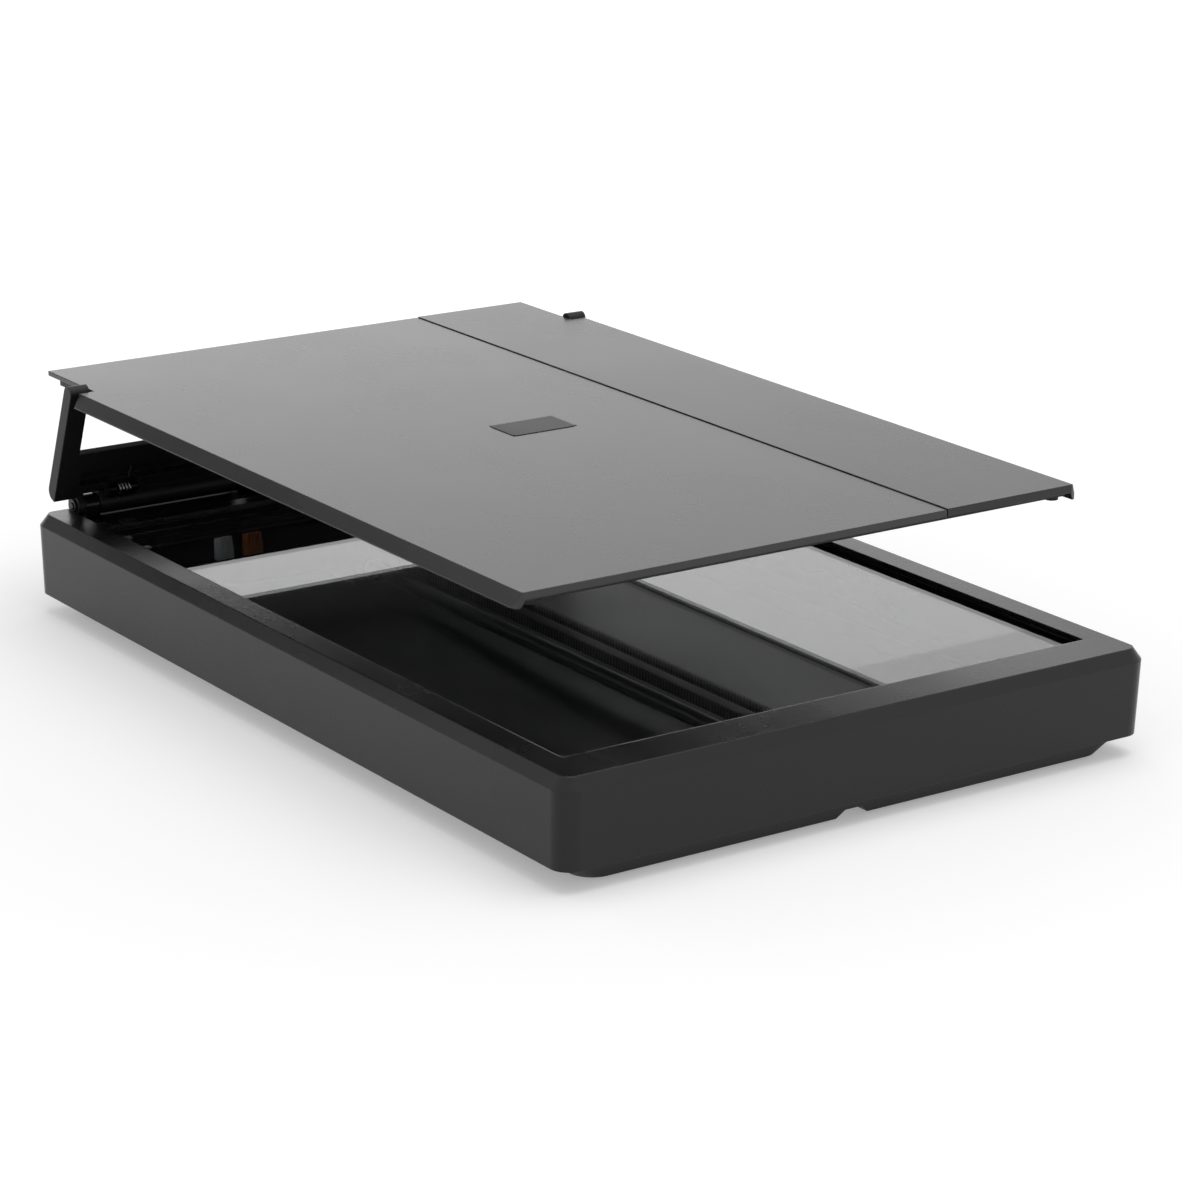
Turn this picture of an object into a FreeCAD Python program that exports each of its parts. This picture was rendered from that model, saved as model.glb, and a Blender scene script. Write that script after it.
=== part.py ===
import FreeCAD, Part
import Sketcher
import math
import os
import re

# Flatbed document scanner with a raised, parallel lid on a spring loaded rear flap.
# X runs across the machine, Y from the front edge to the hinge, Z up from the floor.
# Millimetres. The pose modelled is the open one: flap raised, lid level above the glass.

Vector = FreeCAD.Vector
Rotation = FreeCAD.Rotation
Placement = FreeCAD.Placement

document = FreeCAD.newDocument("DocumentScanner")

# Driving sizes: alias, value, what it is.
SIZES = (
    ("case_width", 251.0, "outer width of the base"),
    ("case_length", 364.0, "outer length of the base"),
    ("case_corner", 7.0, "plan radius of the base corners"),
    ("case_wall", 2.5, "thickness of the outer wall"),
    ("skirt_inset", 0.7, "how far the outer wall leans in at its foot"),
    ("skirt_height", 27.5, "height of the outer wall below the bevel"),
    ("chamfer_rise", 4.3, "height of the bevel round the top"),
    ("chamfer_inset", 3.2, "width of the bevel round the top"),
    ("foot_stand", 1.6, "how far the rubber feet stand out"),
    ("belly_drop", 6.4, "depth of the belly below the outer wall"),
    ("deck_thick", 2.1, "thickness of the top deck round the glass"),
    ("rim_side", 13.4, "deck width beside the glass, from the outer wall"),
    ("rim_front", 20.0, "deck width in front of the glass"),
    ("rim_rear", 34.0, "from the glass opening to the outer wall behind it"),
    ("well_bar", 7.0, "deck bar between the glass and the hinge well"),
    ("well_depth", 12.0, "depth of the hinge well below the deck"),
    ("well_wall", 2.0, "wall of the hinge well"),
    ("rear_lip_drop", 4.8, "rear wall's drop below the deck behind the well"),
    ("tape_thick", 0.3, "adhesive frame under the deck"),
    ("tape_width", 3.0, "width of the adhesive frame"),
    ("glass_thick", 2.8, "platen glass"),
    ("glass_lap", 4.0, "glass hidden under the deck on each side"),
    ("strip_length", 9.0, "white calibration strip along Y"),
    ("strip_thick", 0.2, "white calibration strip"),
    ("post_radius", 2.8, "screw posts of the upper housing"),
    ("post_inset", 25.5, "screw posts from the outer wall's side"),
    ("post_end_inset", 13.0, "end screw posts from the outer wall's end"),
    ("screw_radius", 1.3, "case screw shank"),
    ("screw_length", 16.0, "case screw shank"),
    ("screw_head_radius", 2.7, "case screw head"),
    ("screw_head_height", 1.8, "case screw head"),
    ("floor_thick", 2.0, "floor of the lower case"),
    ("belly_top_inset", 4.0, "belly edge from the outer wall, at the top"),
    ("belly_side_inset", 13.0, "belly edge from the outer wall, at its foot, sides"),
    ("belly_end_inset", 6.2, "belly edge from the outer wall, at its foot, ends"),
    ("belly_corner", 9.0, "plan radius of the belly corners"),
    ("flange_thick", 2.0, "flange of the lower case inside the outer wall"),
    ("flange_gap", 0.3, "flange to outer wall"),
    ("flange_lift", 0.5, "flange above the foot of the outer wall"),
    ("notch_x", -2.5, "middle of the finger notch in the belly's front"),
    ("notch_width_low", 13.4, "finger notch, width at its mouth"),
    ("notch_width_high", 7.0, "finger notch, width at its roof"),
    ("notch_rise", 2.9, "finger notch, height"),
    ("notch_depth", 6.0, "finger notch, depth along Y"),
    ("foot_radius", 6.0, "rubber feet"),
    ("foot_sink", 0.9, "rubber feet, depth in the belly"),
    ("foot_inset_x", 34.0, "rubber feet from the outer wall, X"),
    ("foot_inset_y", 34.0, "rubber feet from the outer wall, Y"),
    ("rod_x", -7.0, "guide rod, place across"),
    ("rod_radius", 3.0, "guide rod"),
    ("rod_play", 0.05, "guide rod in its saddles and its bush"),
    ("rod_height", 7.0, "guide rod axis above the floor of the lower case"),
    ("rod_front_inset", 12.0, "guide rod's front end from the outer wall"),
    ("rod_rear_inset", 22.0, "guide rod's rear end from the outer wall"),
    ("saddle_width", 14.0, "guide rod saddles"),
    ("saddle_length", 7.0, "guide rod saddles"),
    ("saddle_rise", 4.6, "guide rod saddles above the rod's axis"),
    ("saddle_gap", 2.0, "scan unit to the front saddle at the end of its travel"),
    ("clip_thick", 1.2, "spring clips over the guide rod"),
    ("home_inset", 48.0, "scan unit's middle in the home place, from the rear wall"),
    ("cradle_side_gap", 9.8, "cradle to the inside of the outer wall"),
    ("cradle_length", 24.0, "cradle of the scan unit"),
    ("cradle_height", 11.0, "cradle of the scan unit"),
    ("cradle_lift", 10.4, "cradle above the floor of the lower case"),
    ("cradle_wall", 1.8, "walls and floor of the cradle"),
    ("hub_width", 17.0, "hub of the cradle round the rod"),
    ("bush_radius", 4.5, "bronze bush on the rod"),
    ("bush_length", 9.0, "bronze bush on the rod"),
    ("sensor_side_gap", 1.2, "contact image sensor to the cradle's walls"),
    ("spring_room", 5.65, "contact image sensor above the cradle's floor"),
    ("glide_height", 0.6, "glide pads on the sensor"),
    ("glide_gap", 0.15, "glide pads to the glass"),
    ("glide_size", 5.0, "glide pads"),
    ("lens_width", 3.0, "rod lens array, Y"),
    ("lens_height", 5.0, "rod lens array, Z"),
    ("guide_width", 2.6, "light guide, Y"),
    ("guide_height", 3.2, "light guide, Z"),
    ("window_thick", 0.9, "cover glass of the sensor"),
    ("sensor_board_thick", 1.2, "circuit board under the sensor"),
    ("spring_wire", 0.6, "lift springs, wire"),
    ("spring_radius", 2.6, "lift springs, to the wire's middle"),
    ("spring_turns", 4.0, "lift springs"),
    ("spring_inset", 34.5, "lift springs from the cradle's ends"),
    ("belt_x", 18.0, "toothed belt, middle between its two runs"),
    ("belt_thick", 1.0, "toothed belt"),
    ("belt_width", 4.0, "toothed belt, height"),
    ("belt_lift", 1.6, "toothed belt above the floor of the lower case"),
    ("clamp_length", 8.0, "belt clamp along Y"),
    ("clamp_shift", 5.0, "belt clamp's rear end behind the middle of the scan unit"),
    ("clamp_gap", 0.8, "belt clamp to the idler pulley at the end of the travel"),
    ("pulley_radius", 6.0, "both pulleys, under the belt"),
    ("pulley_flange", 0.8, "flanges of both pulleys"),
    ("pulley_flange_rise", 1.2, "flanges beyond the belt's inside"),
    ("axle_radius", 1.25, "pulley axles"),
    ("axle_play", 0.06, "pulleys on their axles"),
    ("drive_y_inset", 26.0, "drive pulley from the rear wall"),
    ("gear_radius", 15.0, "driven gear, over its teeth"),
    ("gear_thick", 2.6, "driven gear"),
    ("gear_teeth", 44.0, "driven gear"),
    ("tooth_height", 0.7, "teeth of both gears"),
    ("pinion_radius", 4.2, "motor pinion, over its teeth"),
    ("pinion_teeth", 12.0, "motor pinion"),
    ("mesh_gap", 0.35, "driven gear to pinion"),
    ("motor_radius", 11.0, "stepper motor can"),
    ("motor_room", 2.5, "stepper motor can to the hinge well above it"),
    ("motor_turn", 14.0, "direction from drive axle to motor, degrees"),
    ("motor_shaft_radius", 1.0, "stepper motor shaft"),
    ("plate_thick", 1.2, "motor plate"),
    ("plate_gap", 0.5, "motor plate above the driven gear"),
    ("idler_plate_thick", 1.0, "idler bracket"),
    ("board_thick", 1.6, "main board"),
    ("board_rod_gap", 9.8, "main board to the clips of the guide rod"),
    ("board_length", 24.0, "main board, Y"),
    ("board_margin", 11.0, "main board's left edge from the data socket's middle"),
    ("board_lift", 10.0, "main board above the floor of the lower case"),
    ("board_rear_gap", 1.0, "main board to the rear wall"),
    ("socket_width", 12.0, "data socket, X"),
    ("socket_height", 7.0, "data socket, Z"),
    ("socket_length", 10.0, "data socket, Y"),
    ("socket_inset", 41.5, "data socket's middle from the outer wall's side"),
    ("socket_wall", 0.8, "shell of the data socket"),
    ("socket_gap", 0.4, "data socket to the hole in the rear wall"),
    ("pivot_inset", 4.7, "flap's pivot from the rear wall"),
    ("pivot_rise", 1.2, "flap's pivot above the deck"),
    ("lid_gap", 0.3, "closed flap and lid above the deck"),
    ("flap_thick", 5.5, "flap, and the lid at its sides"),
    ("flap_lean", 70.0, "flap's angle up from flat, in the pose modelled"),
    ("flap_side_inset", 5.5, "outer face of the flap's arms from the outer wall's side"),
    ("arm_width", 8.0, "width of the flap's arms"),
    ("arm_reach", 50.35, "flap's pivot to the lid's pivot"),
    ("arm_tip", 5.0, "arm's end beyond the lid's pivot"),
    ("panel_reach", 25.0, "flap's pivot to the panel's upper edge"),
    ("panel_skin", 1.6, "skin of the flap's panel"),
    ("step_reach", 17.0, "flap's pivot to the step under the lid's tongue"),
    ("heel_gap", 4.2, "flap's pivot to the heel over the rims"),
    ("heel_radius", 3.6, "round of the heel"),
    ("barrel_radius", 4.6, "hinge barrel of the flap"),
    ("barrel_side_gap", 1.8, "hinge barrel to the well's sides"),
    ("boss_radius", 4.2, "hinge bosses of the upper housing"),
    ("boss_width", 6.0, "hinge bosses of the upper housing"),
    ("boss_outer_inset", 8.1, "outer hinge bosses from the well's sides"),
    ("boss_inner_x", 36.0, "inner hinge bosses"),
    ("boss_side_gap", 0.4, "hinge bosses to the barrel"),
    ("shaft_radius", 1.5, "hinge shaft"),
    ("shaft_play", 0.06, "hinge shaft in the bosses and the barrel"),
    ("shaft_end_gap", 0.5, "hinge shaft's ends to the well's sides"),
    ("ring_radius", 2.9, "retaining rings"),
    ("ring_thick", 0.6, "retaining rings"),
    ("ring_inset", 0.4, "retaining rings from the shaft's ends"),
    ("torsion_wire", 0.9, "torsion springs, wire"),
    ("torsion_gap", 0.5, "torsion springs, gap between two turns"),
    ("torsion_radius", 2.3, "torsion springs, to the wire's middle"),
    ("torsion_turns", 4.0, "torsion springs"),
    ("torsion_inset", 21.6, "torsion springs' middle from the well's sides"),
    ("torsion_leg", 9.0, "torsion springs, leg up the panel"),
    ("torsion_end", 4.0, "torsion springs, short leg"),
    ("torsion_relief", 0.1, "torsion springs to the pocket behind them"),
    ("torsion_reach", 6.2, "flap's pivot to the spring pin"),
    ("torsion_drop", 1.4, "spring pin below the flap's pivot, flap flat"),
    ("spring_pin_radius", 1.0, "spring pins"),
    ("spring_pin_half", 8.5, "spring pins, half their length"),
    ("pin_lift", 2.3, "lid's pivot above the lid's underside"),
    ("pin_radius", 1.2, "lid pivot pins"),
    ("pin_play", 0.05, "lid pivot pins in the lid"),
    ("lug_width", 5.6, "lid's pivot lugs"),
    ("lid_side_slope", 2.4, "how far the lid's sides lean in at the top"),
    ("lid_front_inset", 1.0, "closed lid's front edge from the base's front"),
    ("lid_rear_inset", 22.6, "closed lid's tongue from the base's rear"),
    ("lid_front_height", 2.8, "height of the lid's front edge"),
    ("lid_corner", 3.0, "plan radius of the lid's front corners"),
    ("lid_skin", 1.8, "skin of the lid's panels"),
    ("lid_wall", 2.2, "side walls of the lid"),
    ("notch_gap", 0.55, "lid's notch to the arm's end"),
    ("tongue_gap", 0.8, "lid's tongue to the arms"),
    ("tongue_thin", 8.6, "thin rear edge of the tongue"),
    ("seam_x", 59.6, "seam between the lid's two panels"),
    ("seam_gap", 0.5, "seam between the lid's two panels"),
    ("side_panel_step", 0.3, "narrow panel above the wide one"),
    ("inner_gap", 0.2, "lid's inner frame to its walls"),
    ("inner_thick", 2.2, "lid's inner frame"),
    ("sheet_thick", 0.5, "backing sheet on the foam"),
    ("pad_side_gap", 3.0, "pad to the glass opening's sides"),
    ("pad_glass_gap", 0.4, "closed pad above the glass"),
    ("bumper_radius", 2.5, "lid bumpers"),
    ("bumper_gap", 0.7, "lid bumpers to the foam"),
    ("badge_width", 28.0, "blank badge, X"),
    ("badge_length", 17.0, "blank badge, Y"),
    ("badge_thick", 0.5, "blank badge"),
    ("badge_proud", 0.15, "blank badge above the lid"),
    ("badge_corner", 2.0, "blank badge's corners"),
    ("badge_x", 1.7, "blank badge, middle"),
    ("badge_y", 23.2, "blank badge, middle, in the pose modelled"),
)

# Places worked out from the sizes, in the order they build on each other.
PLACES = (
    ("side_x", "case_width / 2"),
    ("front_y", "-case_length / 2"),
    ("rear_y", "case_length / 2"),
    ("skirt_low", "foot_stand + belly_drop"),
    ("skirt_top", "skirt_low + skirt_height"),
    ("deck_top", "skirt_top + chamfer_rise"),
    ("deck_low", "deck_top - deck_thick"),
    ("flap_outer_x", "side_x - flap_side_inset"),
    ("lid_top_half", "flap_outer_x - lid_side_slope"),
    ("cavity_width", "case_width - 2 * case_wall - 2 * skirt_inset"),
    ("cavity_length", "case_length - 2 * case_wall - 2 * skirt_inset"),
    ("cavity_rear", "rear_y - case_wall - skirt_inset"),
    ("opening_width", "case_width - 2 * rim_side"),
    ("opening_length", "case_length - rim_front - rim_rear"),
    ("opening_front", "front_y + rim_front"),
    ("opening_rear", "opening_front + opening_length"),
    ("opening_mid", "(opening_front + opening_rear) / 2"),
    ("well_front", "opening_rear + well_bar"),
    ("well_floor", "deck_top - well_depth"),
    ("rear_lip", "deck_top - rear_lip_drop"),
    ("glass_top", "deck_low - tape_thick"),
    ("glass_low", "glass_top - glass_thick"),
    ("glass_width", "opening_width + 2 * glass_lap"),
    ("glass_length", "opening_length + 2 * glass_lap"),
    ("post_x", "side_x - post_inset"),
    ("post_y", "rear_y - post_end_inset"),
    ("flange_low", "skirt_low + flange_lift"),
    ("flange_top", "flange_low + flange_thick"),
    ("floor_top", "foot_stand + floor_thick"),
    ("tub_width", "case_width - 2 * belly_side_inset - 2 * floor_thick"),
    ("tub_length", "case_length - 2 * belly_end_inset - 2 * floor_thick"),
    ("rod_z", "floor_top + rod_height"),
    ("rod_front", "front_y + rod_front_inset"),
    ("rod_rear", "rear_y - rod_rear_inset"),
    ("carriage_home", "rear_y - home_inset"),
    ("travel_end", "rod_front + saddle_length + saddle_gap + cradle_length / 2"),
    ("carriage_travel", "carriage_home - travel_end"),
    ("cradle_width", "cavity_width - 2 * cradle_side_gap"),
    ("cradle_low", "floor_top + cradle_lift"),
    ("spring_spread", "cradle_width / 2 - spring_inset"),
    ("sensor_width", "cradle_width - 2 * cradle_wall - 2 * sensor_side_gap"),
    ("sensor_length", "cradle_length - 2 * cradle_wall - 2 * sensor_side_gap"),
    ("sensor_top", "glass_low - glide_gap - glide_height"),
    ("sensor_low", "cradle_low + cradle_wall + spring_room"),
    ("sensor_height", "sensor_top - sensor_low"),
    ("belt_low", "floor_top + belt_lift"),
    ("belt_top", "belt_low + belt_width"),
    ("drive_y", "rear_y - drive_y_inset"),
    ("flange_radius", "pulley_radius + belt_thick + pulley_flange_rise"),
    ("clamp_front", "carriage_home + clamp_shift - clamp_length"),
    ("idler_y", "clamp_front - carriage_travel - clamp_gap - flange_radius"),
    ("pulley_low", "belt_low - pulley_flange"),
    ("pulley_top", "belt_top + pulley_flange"),
    ("gear_top", "pulley_top + gear_thick"),
    ("motor_reach", "gear_radius + pinion_radius + mesh_gap"),
    ("motor_x", "belt_x + motor_reach * cos(motor_turn)"),
    ("motor_y", "drive_y + motor_reach * sin(motor_turn)"),
    ("plate_low", "gear_top + plate_gap"),
    ("plate_top", "plate_low + plate_thick"),
    ("motor_height", "well_floor - well_wall - motor_room - plate_top"),
    ("socket_x", "socket_inset - side_x"),
    ("board_left", "socket_x - board_margin"),
    ("board_right", "rod_x - saddle_width / 2 - clip_thick - board_rod_gap"),
    ("board_width", "board_right - board_left"),
    ("board_x", "(board_left + board_right) / 2"),
    ("board_low", "floor_top + board_lift"),
    ("board_top", "board_low + board_thick"),
    ("board_rear", "cavity_rear - board_rear_gap"),
    ("boss_outer_x", "opening_width / 2 - boss_outer_inset"),
    ("torsion_x", "opening_width / 2 - torsion_inset"),
    ("pivot_y", "rear_y - pivot_inset"),
    ("shaft_half", "opening_width / 2 - shaft_end_gap"),
    ("pivot_z", "deck_top + pivot_rise"),
    ("closed_low", "deck_top + lid_gap"),
    ("closed_top", "closed_low + flap_thick"),
    ("flap_low", "closed_low - pivot_z"),
    ("flap_high", "closed_top - pivot_z"),
    ("arm_inner_x", "flap_outer_x - arm_width"),
    ("pin_b", "closed_low + pin_lift - pivot_z"),
    ("lid_shift_y", "arm_reach - arm_reach * cos(flap_lean) + pin_b * sin(flap_lean)"),
    ("lid_shift_z", "arm_reach * sin(flap_lean) + pin_b * cos(flap_lean) - pin_b"),
    ("pin_y", "pivot_y - arm_reach"),
    ("pin_z", "closed_low + pin_lift"),
    ("lid_front", "front_y + lid_front_inset"),
    ("lid_rear", "rear_y - lid_rear_inset"),
    ("notch_y", "pin_y - arm_tip - notch_gap"),
    ("frame_shift", "(lid_rear + lid_shift_y - rear_y) / 2"),
    ("tongue_half", "arm_inner_x - tongue_gap"),
    ("skin_low", "closed_top - lid_skin"),
    ("inner_low", "skin_low - inner_thick"),
    ("pad_low", "glass_top + pad_glass_gap"),
    ("pad_width", "opening_width - 2 * pad_side_gap"),
    ("pad_length", "opening_length - 2 * pad_side_gap"),
    ("bumper_x", "pad_width / 2 + bumper_gap + bumper_radius"),
)

SIZE_NAMES = {name for name, number, meaning in SIZES}
PLACE_NAMES = {name for name, formula in PLACES}


def linked(text):
    """Write each size or place in a formula with the sheet that holds it."""
    def prefixed(match):
        word = match.group(0)
        if word in SIZE_NAMES:
            return "Sizes." + word
        if word in PLACE_NAMES:
            return "Places." + word
        return word
    return re.sub(r"[a-z][a-z_0-9]*", prefixed, str(text))


def filled_sheet(label, rows):
    """A spreadsheet with one aliased cell for each row."""
    sheet = document.addObject("Spreadsheet::Sheet", label)
    for number, (alias, content) in enumerate(rows, start=1):
        cell = "A{}".format(number)
        sheet.set(cell, content)
        sheet.setAlias(cell, alias)
    return sheet


sizes = filled_sheet("Sizes", [(name, str(number)) for name, number, meaning in SIZES])
places = filled_sheet("Places", [(name, "=" + linked(formula)) for name, formula in PLACES])
document.recompute()


def value(name):
    """The number behind a size or a place."""
    holder = sizes if name in SIZE_NAMES else places
    return float(getattr(holder, name))


def bind(thing, prop, text):
    thing.setExpression(prop, linked(text))


# Each finished piece: its node name and the object that holds its shape.
pieces = []


BASE = ("0", "0", "0")
FLAP = ("0", "pivot_y", "pivot_z")
LID = ("0", "lid_shift_y", "lid_shift_z")


def finish(piece, label, origin=BASE):
    """Name a piece and put its own origin where it belongs in the whole."""
    piece.Label = label
    if origin is FLAP:
        turn = Rotation(Vector(-1, 0, 0), value("flap_lean"))
        piece.Placement = Placement(Vector(), turn)
        bind(piece, "Placement.Rotation.Angle", "flap_lean")
    across, along, up = origin
    bind(piece, "Placement.Base.x", across)
    bind(piece, "Placement.Base.y", along + " - frame_shift")
    bind(piece, "Placement.Base.z", up)
    pieces.append(piece)
    return piece


def new_body(label):
    return document.addObject("PartDesign::Body", label)


def block(body, size, at, cut=False):
    """A box: sizes along X, Y and Z, and the place of its lowest corner."""
    kind = "PartDesign::SubtractiveBox" if cut else "PartDesign::AdditiveBox"
    box = body.newObject(kind, "Block")
    for prop, text in zip(("Length", "Width", "Height"), size):
        bind(box, prop, text)
    for axis, text in zip("xyz", at):
        bind(box, "Placement.Base." + axis, text)
    return box


AXIS_TURN = {
    "x": Rotation(Vector(0, 1, 0), 90),
    "y": Rotation(Vector(1, 0, 0), -90),
    "z": Rotation(),
}


def drum(body, radius, length, at, axis="z", cut=False):
    """A cylinder that starts at a point and runs along an axis."""
    kind = "PartDesign::SubtractiveCylinder" if cut else "PartDesign::AdditiveCylinder"
    cylinder = body.newObject(kind, "Drum")
    bind(cylinder, "Radius", radius)
    bind(cylinder, "Height", length)
    cylinder.Placement = Placement(Vector(), AXIS_TURN[axis])
    for name, text in zip("xyz", at):
        bind(cylinder, "Placement.Base." + name, text)
    return cylinder


def new_sketch(body, role, offset):
    """A sketch on one of the body's own planes, moved by an offset."""
    sketch = body.newObject("Sketcher::SketchObject", "Sketch")
    plane = [item for item in body.Origin.OriginFeatures if item.Role == role][0]
    sketch.AttachmentSupport = [(plane, "")]
    sketch.MapMode = "FlatFace"
    for axis, text in zip("xyz", offset):
        bind(sketch, "AttachmentOffset.Base." + axis, text)
    return sketch


def fix_distance(sketch, kind, first, second, text):
    """Hold the distance between two points, starting from what it is in the rough sketch."""
    gap = sketch.getPoint(*second) - sketch.getPoint(*first)
    start = gap.x if kind == "DistanceX" else gap.y
    number = sketch.addConstraint(Sketcher.Constraint(kind, *first, *second, start))
    bind(sketch, "Constraints[{}]".format(number), text)


def outline(body, role, corners, offset=("0", "0", "0")):
    """A closed outline of straight edges, each corner held by two sizes."""
    sketch = new_sketch(body, role, offset)
    count = len(corners)
    rough = [Vector(math.cos(2 * math.pi * k / count), math.sin(2 * math.pi * k / count), 0)
             for k in range(count)]
    for k in range(count):
        sketch.addGeometry(Part.LineSegment(rough[k], rough[(k + 1) % count]), False)
    for k in range(count):
        sketch.addConstraint(Sketcher.Constraint("Coincident", k, 2, (k + 1) % count, 1))
    for k, (across, up) in enumerate(corners):
        fix_distance(sketch, "DistanceX", (-1, 1), (k, 1), across)
        fix_distance(sketch, "DistanceY", (-1, 1), (k, 1), up)
    return sketch


def rounded(body, width, length, radius, offset):
    """A rounded rectangle in plan, centred on its offset."""
    sketch = new_sketch(body, "XY_Plane", offset)
    half_w, half_l, r = 5.0, 10.0, 2.0
    corner = {
        1: (Vector(half_w - r, r - half_l, 0), -0.5 * math.pi, 0.0),
        3: (Vector(half_w - r, half_l - r, 0), 0.0, 0.5 * math.pi),
        5: (Vector(r - half_w, half_l - r, 0), 0.5 * math.pi, math.pi),
        7: (Vector(r - half_w, r - half_l, 0), math.pi, 1.5 * math.pi),
    }
    side = {
        0: (Vector(r - half_w, -half_l, 0), Vector(half_w - r, -half_l, 0)),
        2: (Vector(half_w, r - half_l, 0), Vector(half_w, half_l - r, 0)),
        4: (Vector(half_w - r, half_l, 0), Vector(r - half_w, half_l, 0)),
        6: (Vector(-half_w, half_l - r, 0), Vector(-half_w, r - half_l, 0)),
    }
    for k in range(8):
        if k in side:
            sketch.addGeometry(Part.LineSegment(*side[k]), False)
        else:
            centre, start, stop = corner[k]
            circle = Part.Circle(centre, Vector(0, 0, 1), r)
            sketch.addGeometry(Part.ArcOfCircle(circle, start, stop), False)
    for k in range(8):
        sketch.addConstraint(Sketcher.Constraint("Tangent", k, 2, (k + 1) % 8, 1))
    sketch.addConstraint(Sketcher.Constraint("Horizontal", 0))
    sketch.addConstraint(Sketcher.Constraint("Vertical", 2))
    sketch.addConstraint(Sketcher.Constraint("Horizontal", 4))
    sketch.addConstraint(Sketcher.Constraint("Vertical", 6))
    for k in (3, 5, 7):
        sketch.addConstraint(Sketcher.Constraint("Equal", 1, k))
    sketch.addConstraint(Sketcher.Constraint("Symmetric", 1, 3, 5, 3, -1, 1))
    number = sketch.addConstraint(Sketcher.Constraint("Radius", 1, r))
    bind(sketch, "Constraints[{}]".format(number), radius)
    fix_distance(sketch, "DistanceX", (6, 1), (2, 1), width)
    fix_distance(sketch, "DistanceY", (0, 1), (4, 1), length)
    return sketch


def pad(body, sketch, length, cut=False, flip=False):
    """Push a sketch along its normal, as material or as a pocket."""
    kind = "PartDesign::Pocket" if cut else "PartDesign::Pad"
    feature = body.newObject(kind, "Push")
    feature.Profile = sketch
    bind(feature, "Length", length)
    feature.Reversed = flip
    return feature


def loft(body, low, high):
    feature = body.newObject("PartDesign::AdditiveLoft", "Taper")
    feature.Profile = low
    feature.Sections = [high]
    feature.Ruled = True
    return feature


def both_sides(text):
    """The same place on the left and on the right."""
    return "-(" + text + ")", text


# The upper housing: leaning outer wall, bevel, deck with the glass opening, hinge well.

def make_upper_housing():
    body = new_body("upper_housing")
    foot = rounded(body, "case_width - 2 * skirt_inset", "case_length - 2 * skirt_inset",
                   "case_corner", ("0", "0", "skirt_low"))
    brow = rounded(body, "case_width", "case_length", "case_corner", ("0", "0", "skirt_top"))
    loft(body, foot, brow)
    brow_again = rounded(body, "case_width", "case_length", "case_corner",
                         ("0", "0", "skirt_top"))
    crown = rounded(body, "case_width - 2 * chamfer_inset", "case_length - 2 * chamfer_inset",
                    "case_corner - chamfer_inset", ("0", "0", "deck_top"))
    loft(body, brow_again, crown)
    cavity = rounded(body, "cavity_width", "cavity_length", "case_corner - case_wall",
                     ("0", "0", "skirt_low"))
    pad(body, cavity, "deck_low - skirt_low", cut=True, flip=True)
    block(body, ("opening_width", "opening_length", "deck_thick + 2"),
          ("-opening_width / 2", "opening_front", "deck_low - 1"), cut=True)
    # The trough of the hinge well, then its hollow and the lowered rear wall.
    block(body, ("opening_width + 2 * well_wall", "cavity_rear - well_front + well_wall + 0.5",
                 "deck_low - well_floor + well_wall + 0.5"),
          ("-opening_width / 2 - well_wall", "well_front - well_wall",
           "well_floor - well_wall"))
    block(body, ("opening_width", "cavity_rear - well_front", "well_depth + 1"),
          ("-opening_width / 2", "well_front", "well_floor"), cut=True)
    block(body, ("opening_width", "case_wall + skirt_inset + 2", "rear_lip_drop + 1"),
          ("-opening_width / 2", "cavity_rear - 1", "rear_lip"), cut=True)
    # Hinge bosses stand on the well's floor and are bored for the shaft.
    for place in both_sides("boss_outer_x") + both_sides("boss_inner_x"):
        block(body, ("boss_width", "2 * boss_radius", "pivot_z - well_floor + 0.5"),
              (place + " - boss_width / 2", "pivot_y - boss_radius", "well_floor - 0.5"))
        drum(body, "boss_radius", "boss_width",
             (place + " - boss_width / 2", "pivot_y", "pivot_z"), axis="x")
    drum(body, "shaft_radius + shaft_play", "opening_width - 2",
         ("1 - opening_width / 2", "pivot_y", "pivot_z"), axis="x", cut=True)
    # Screw posts under the deck.
    for across in both_sides("post_x"):
        for along, top in (("-(post_y)", "deck_low + 0.3"),
                           ("post_y", "well_floor - well_wall + 0.3")):
            drum(body, "post_radius", "(" + top + ") - flange_top",
                 (across, along, "flange_top"))
            drum(body, "screw_radius - 0.15", "screw_length - 3",
                 (across, along, "flange_top"), cut=True)
    block(body, ("socket_width + 2 * socket_gap", "case_wall + skirt_inset + 2",
                 "socket_height + 2 * socket_gap"),
          ("socket_x - socket_width / 2 - socket_gap", "cavity_rear - 1",
           "board_top - socket_gap"), cut=True)
    return finish(body, "upper_housing")


# The lower case: drafted belly with its notch, inner tub, flange, saddles and posts.

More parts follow.
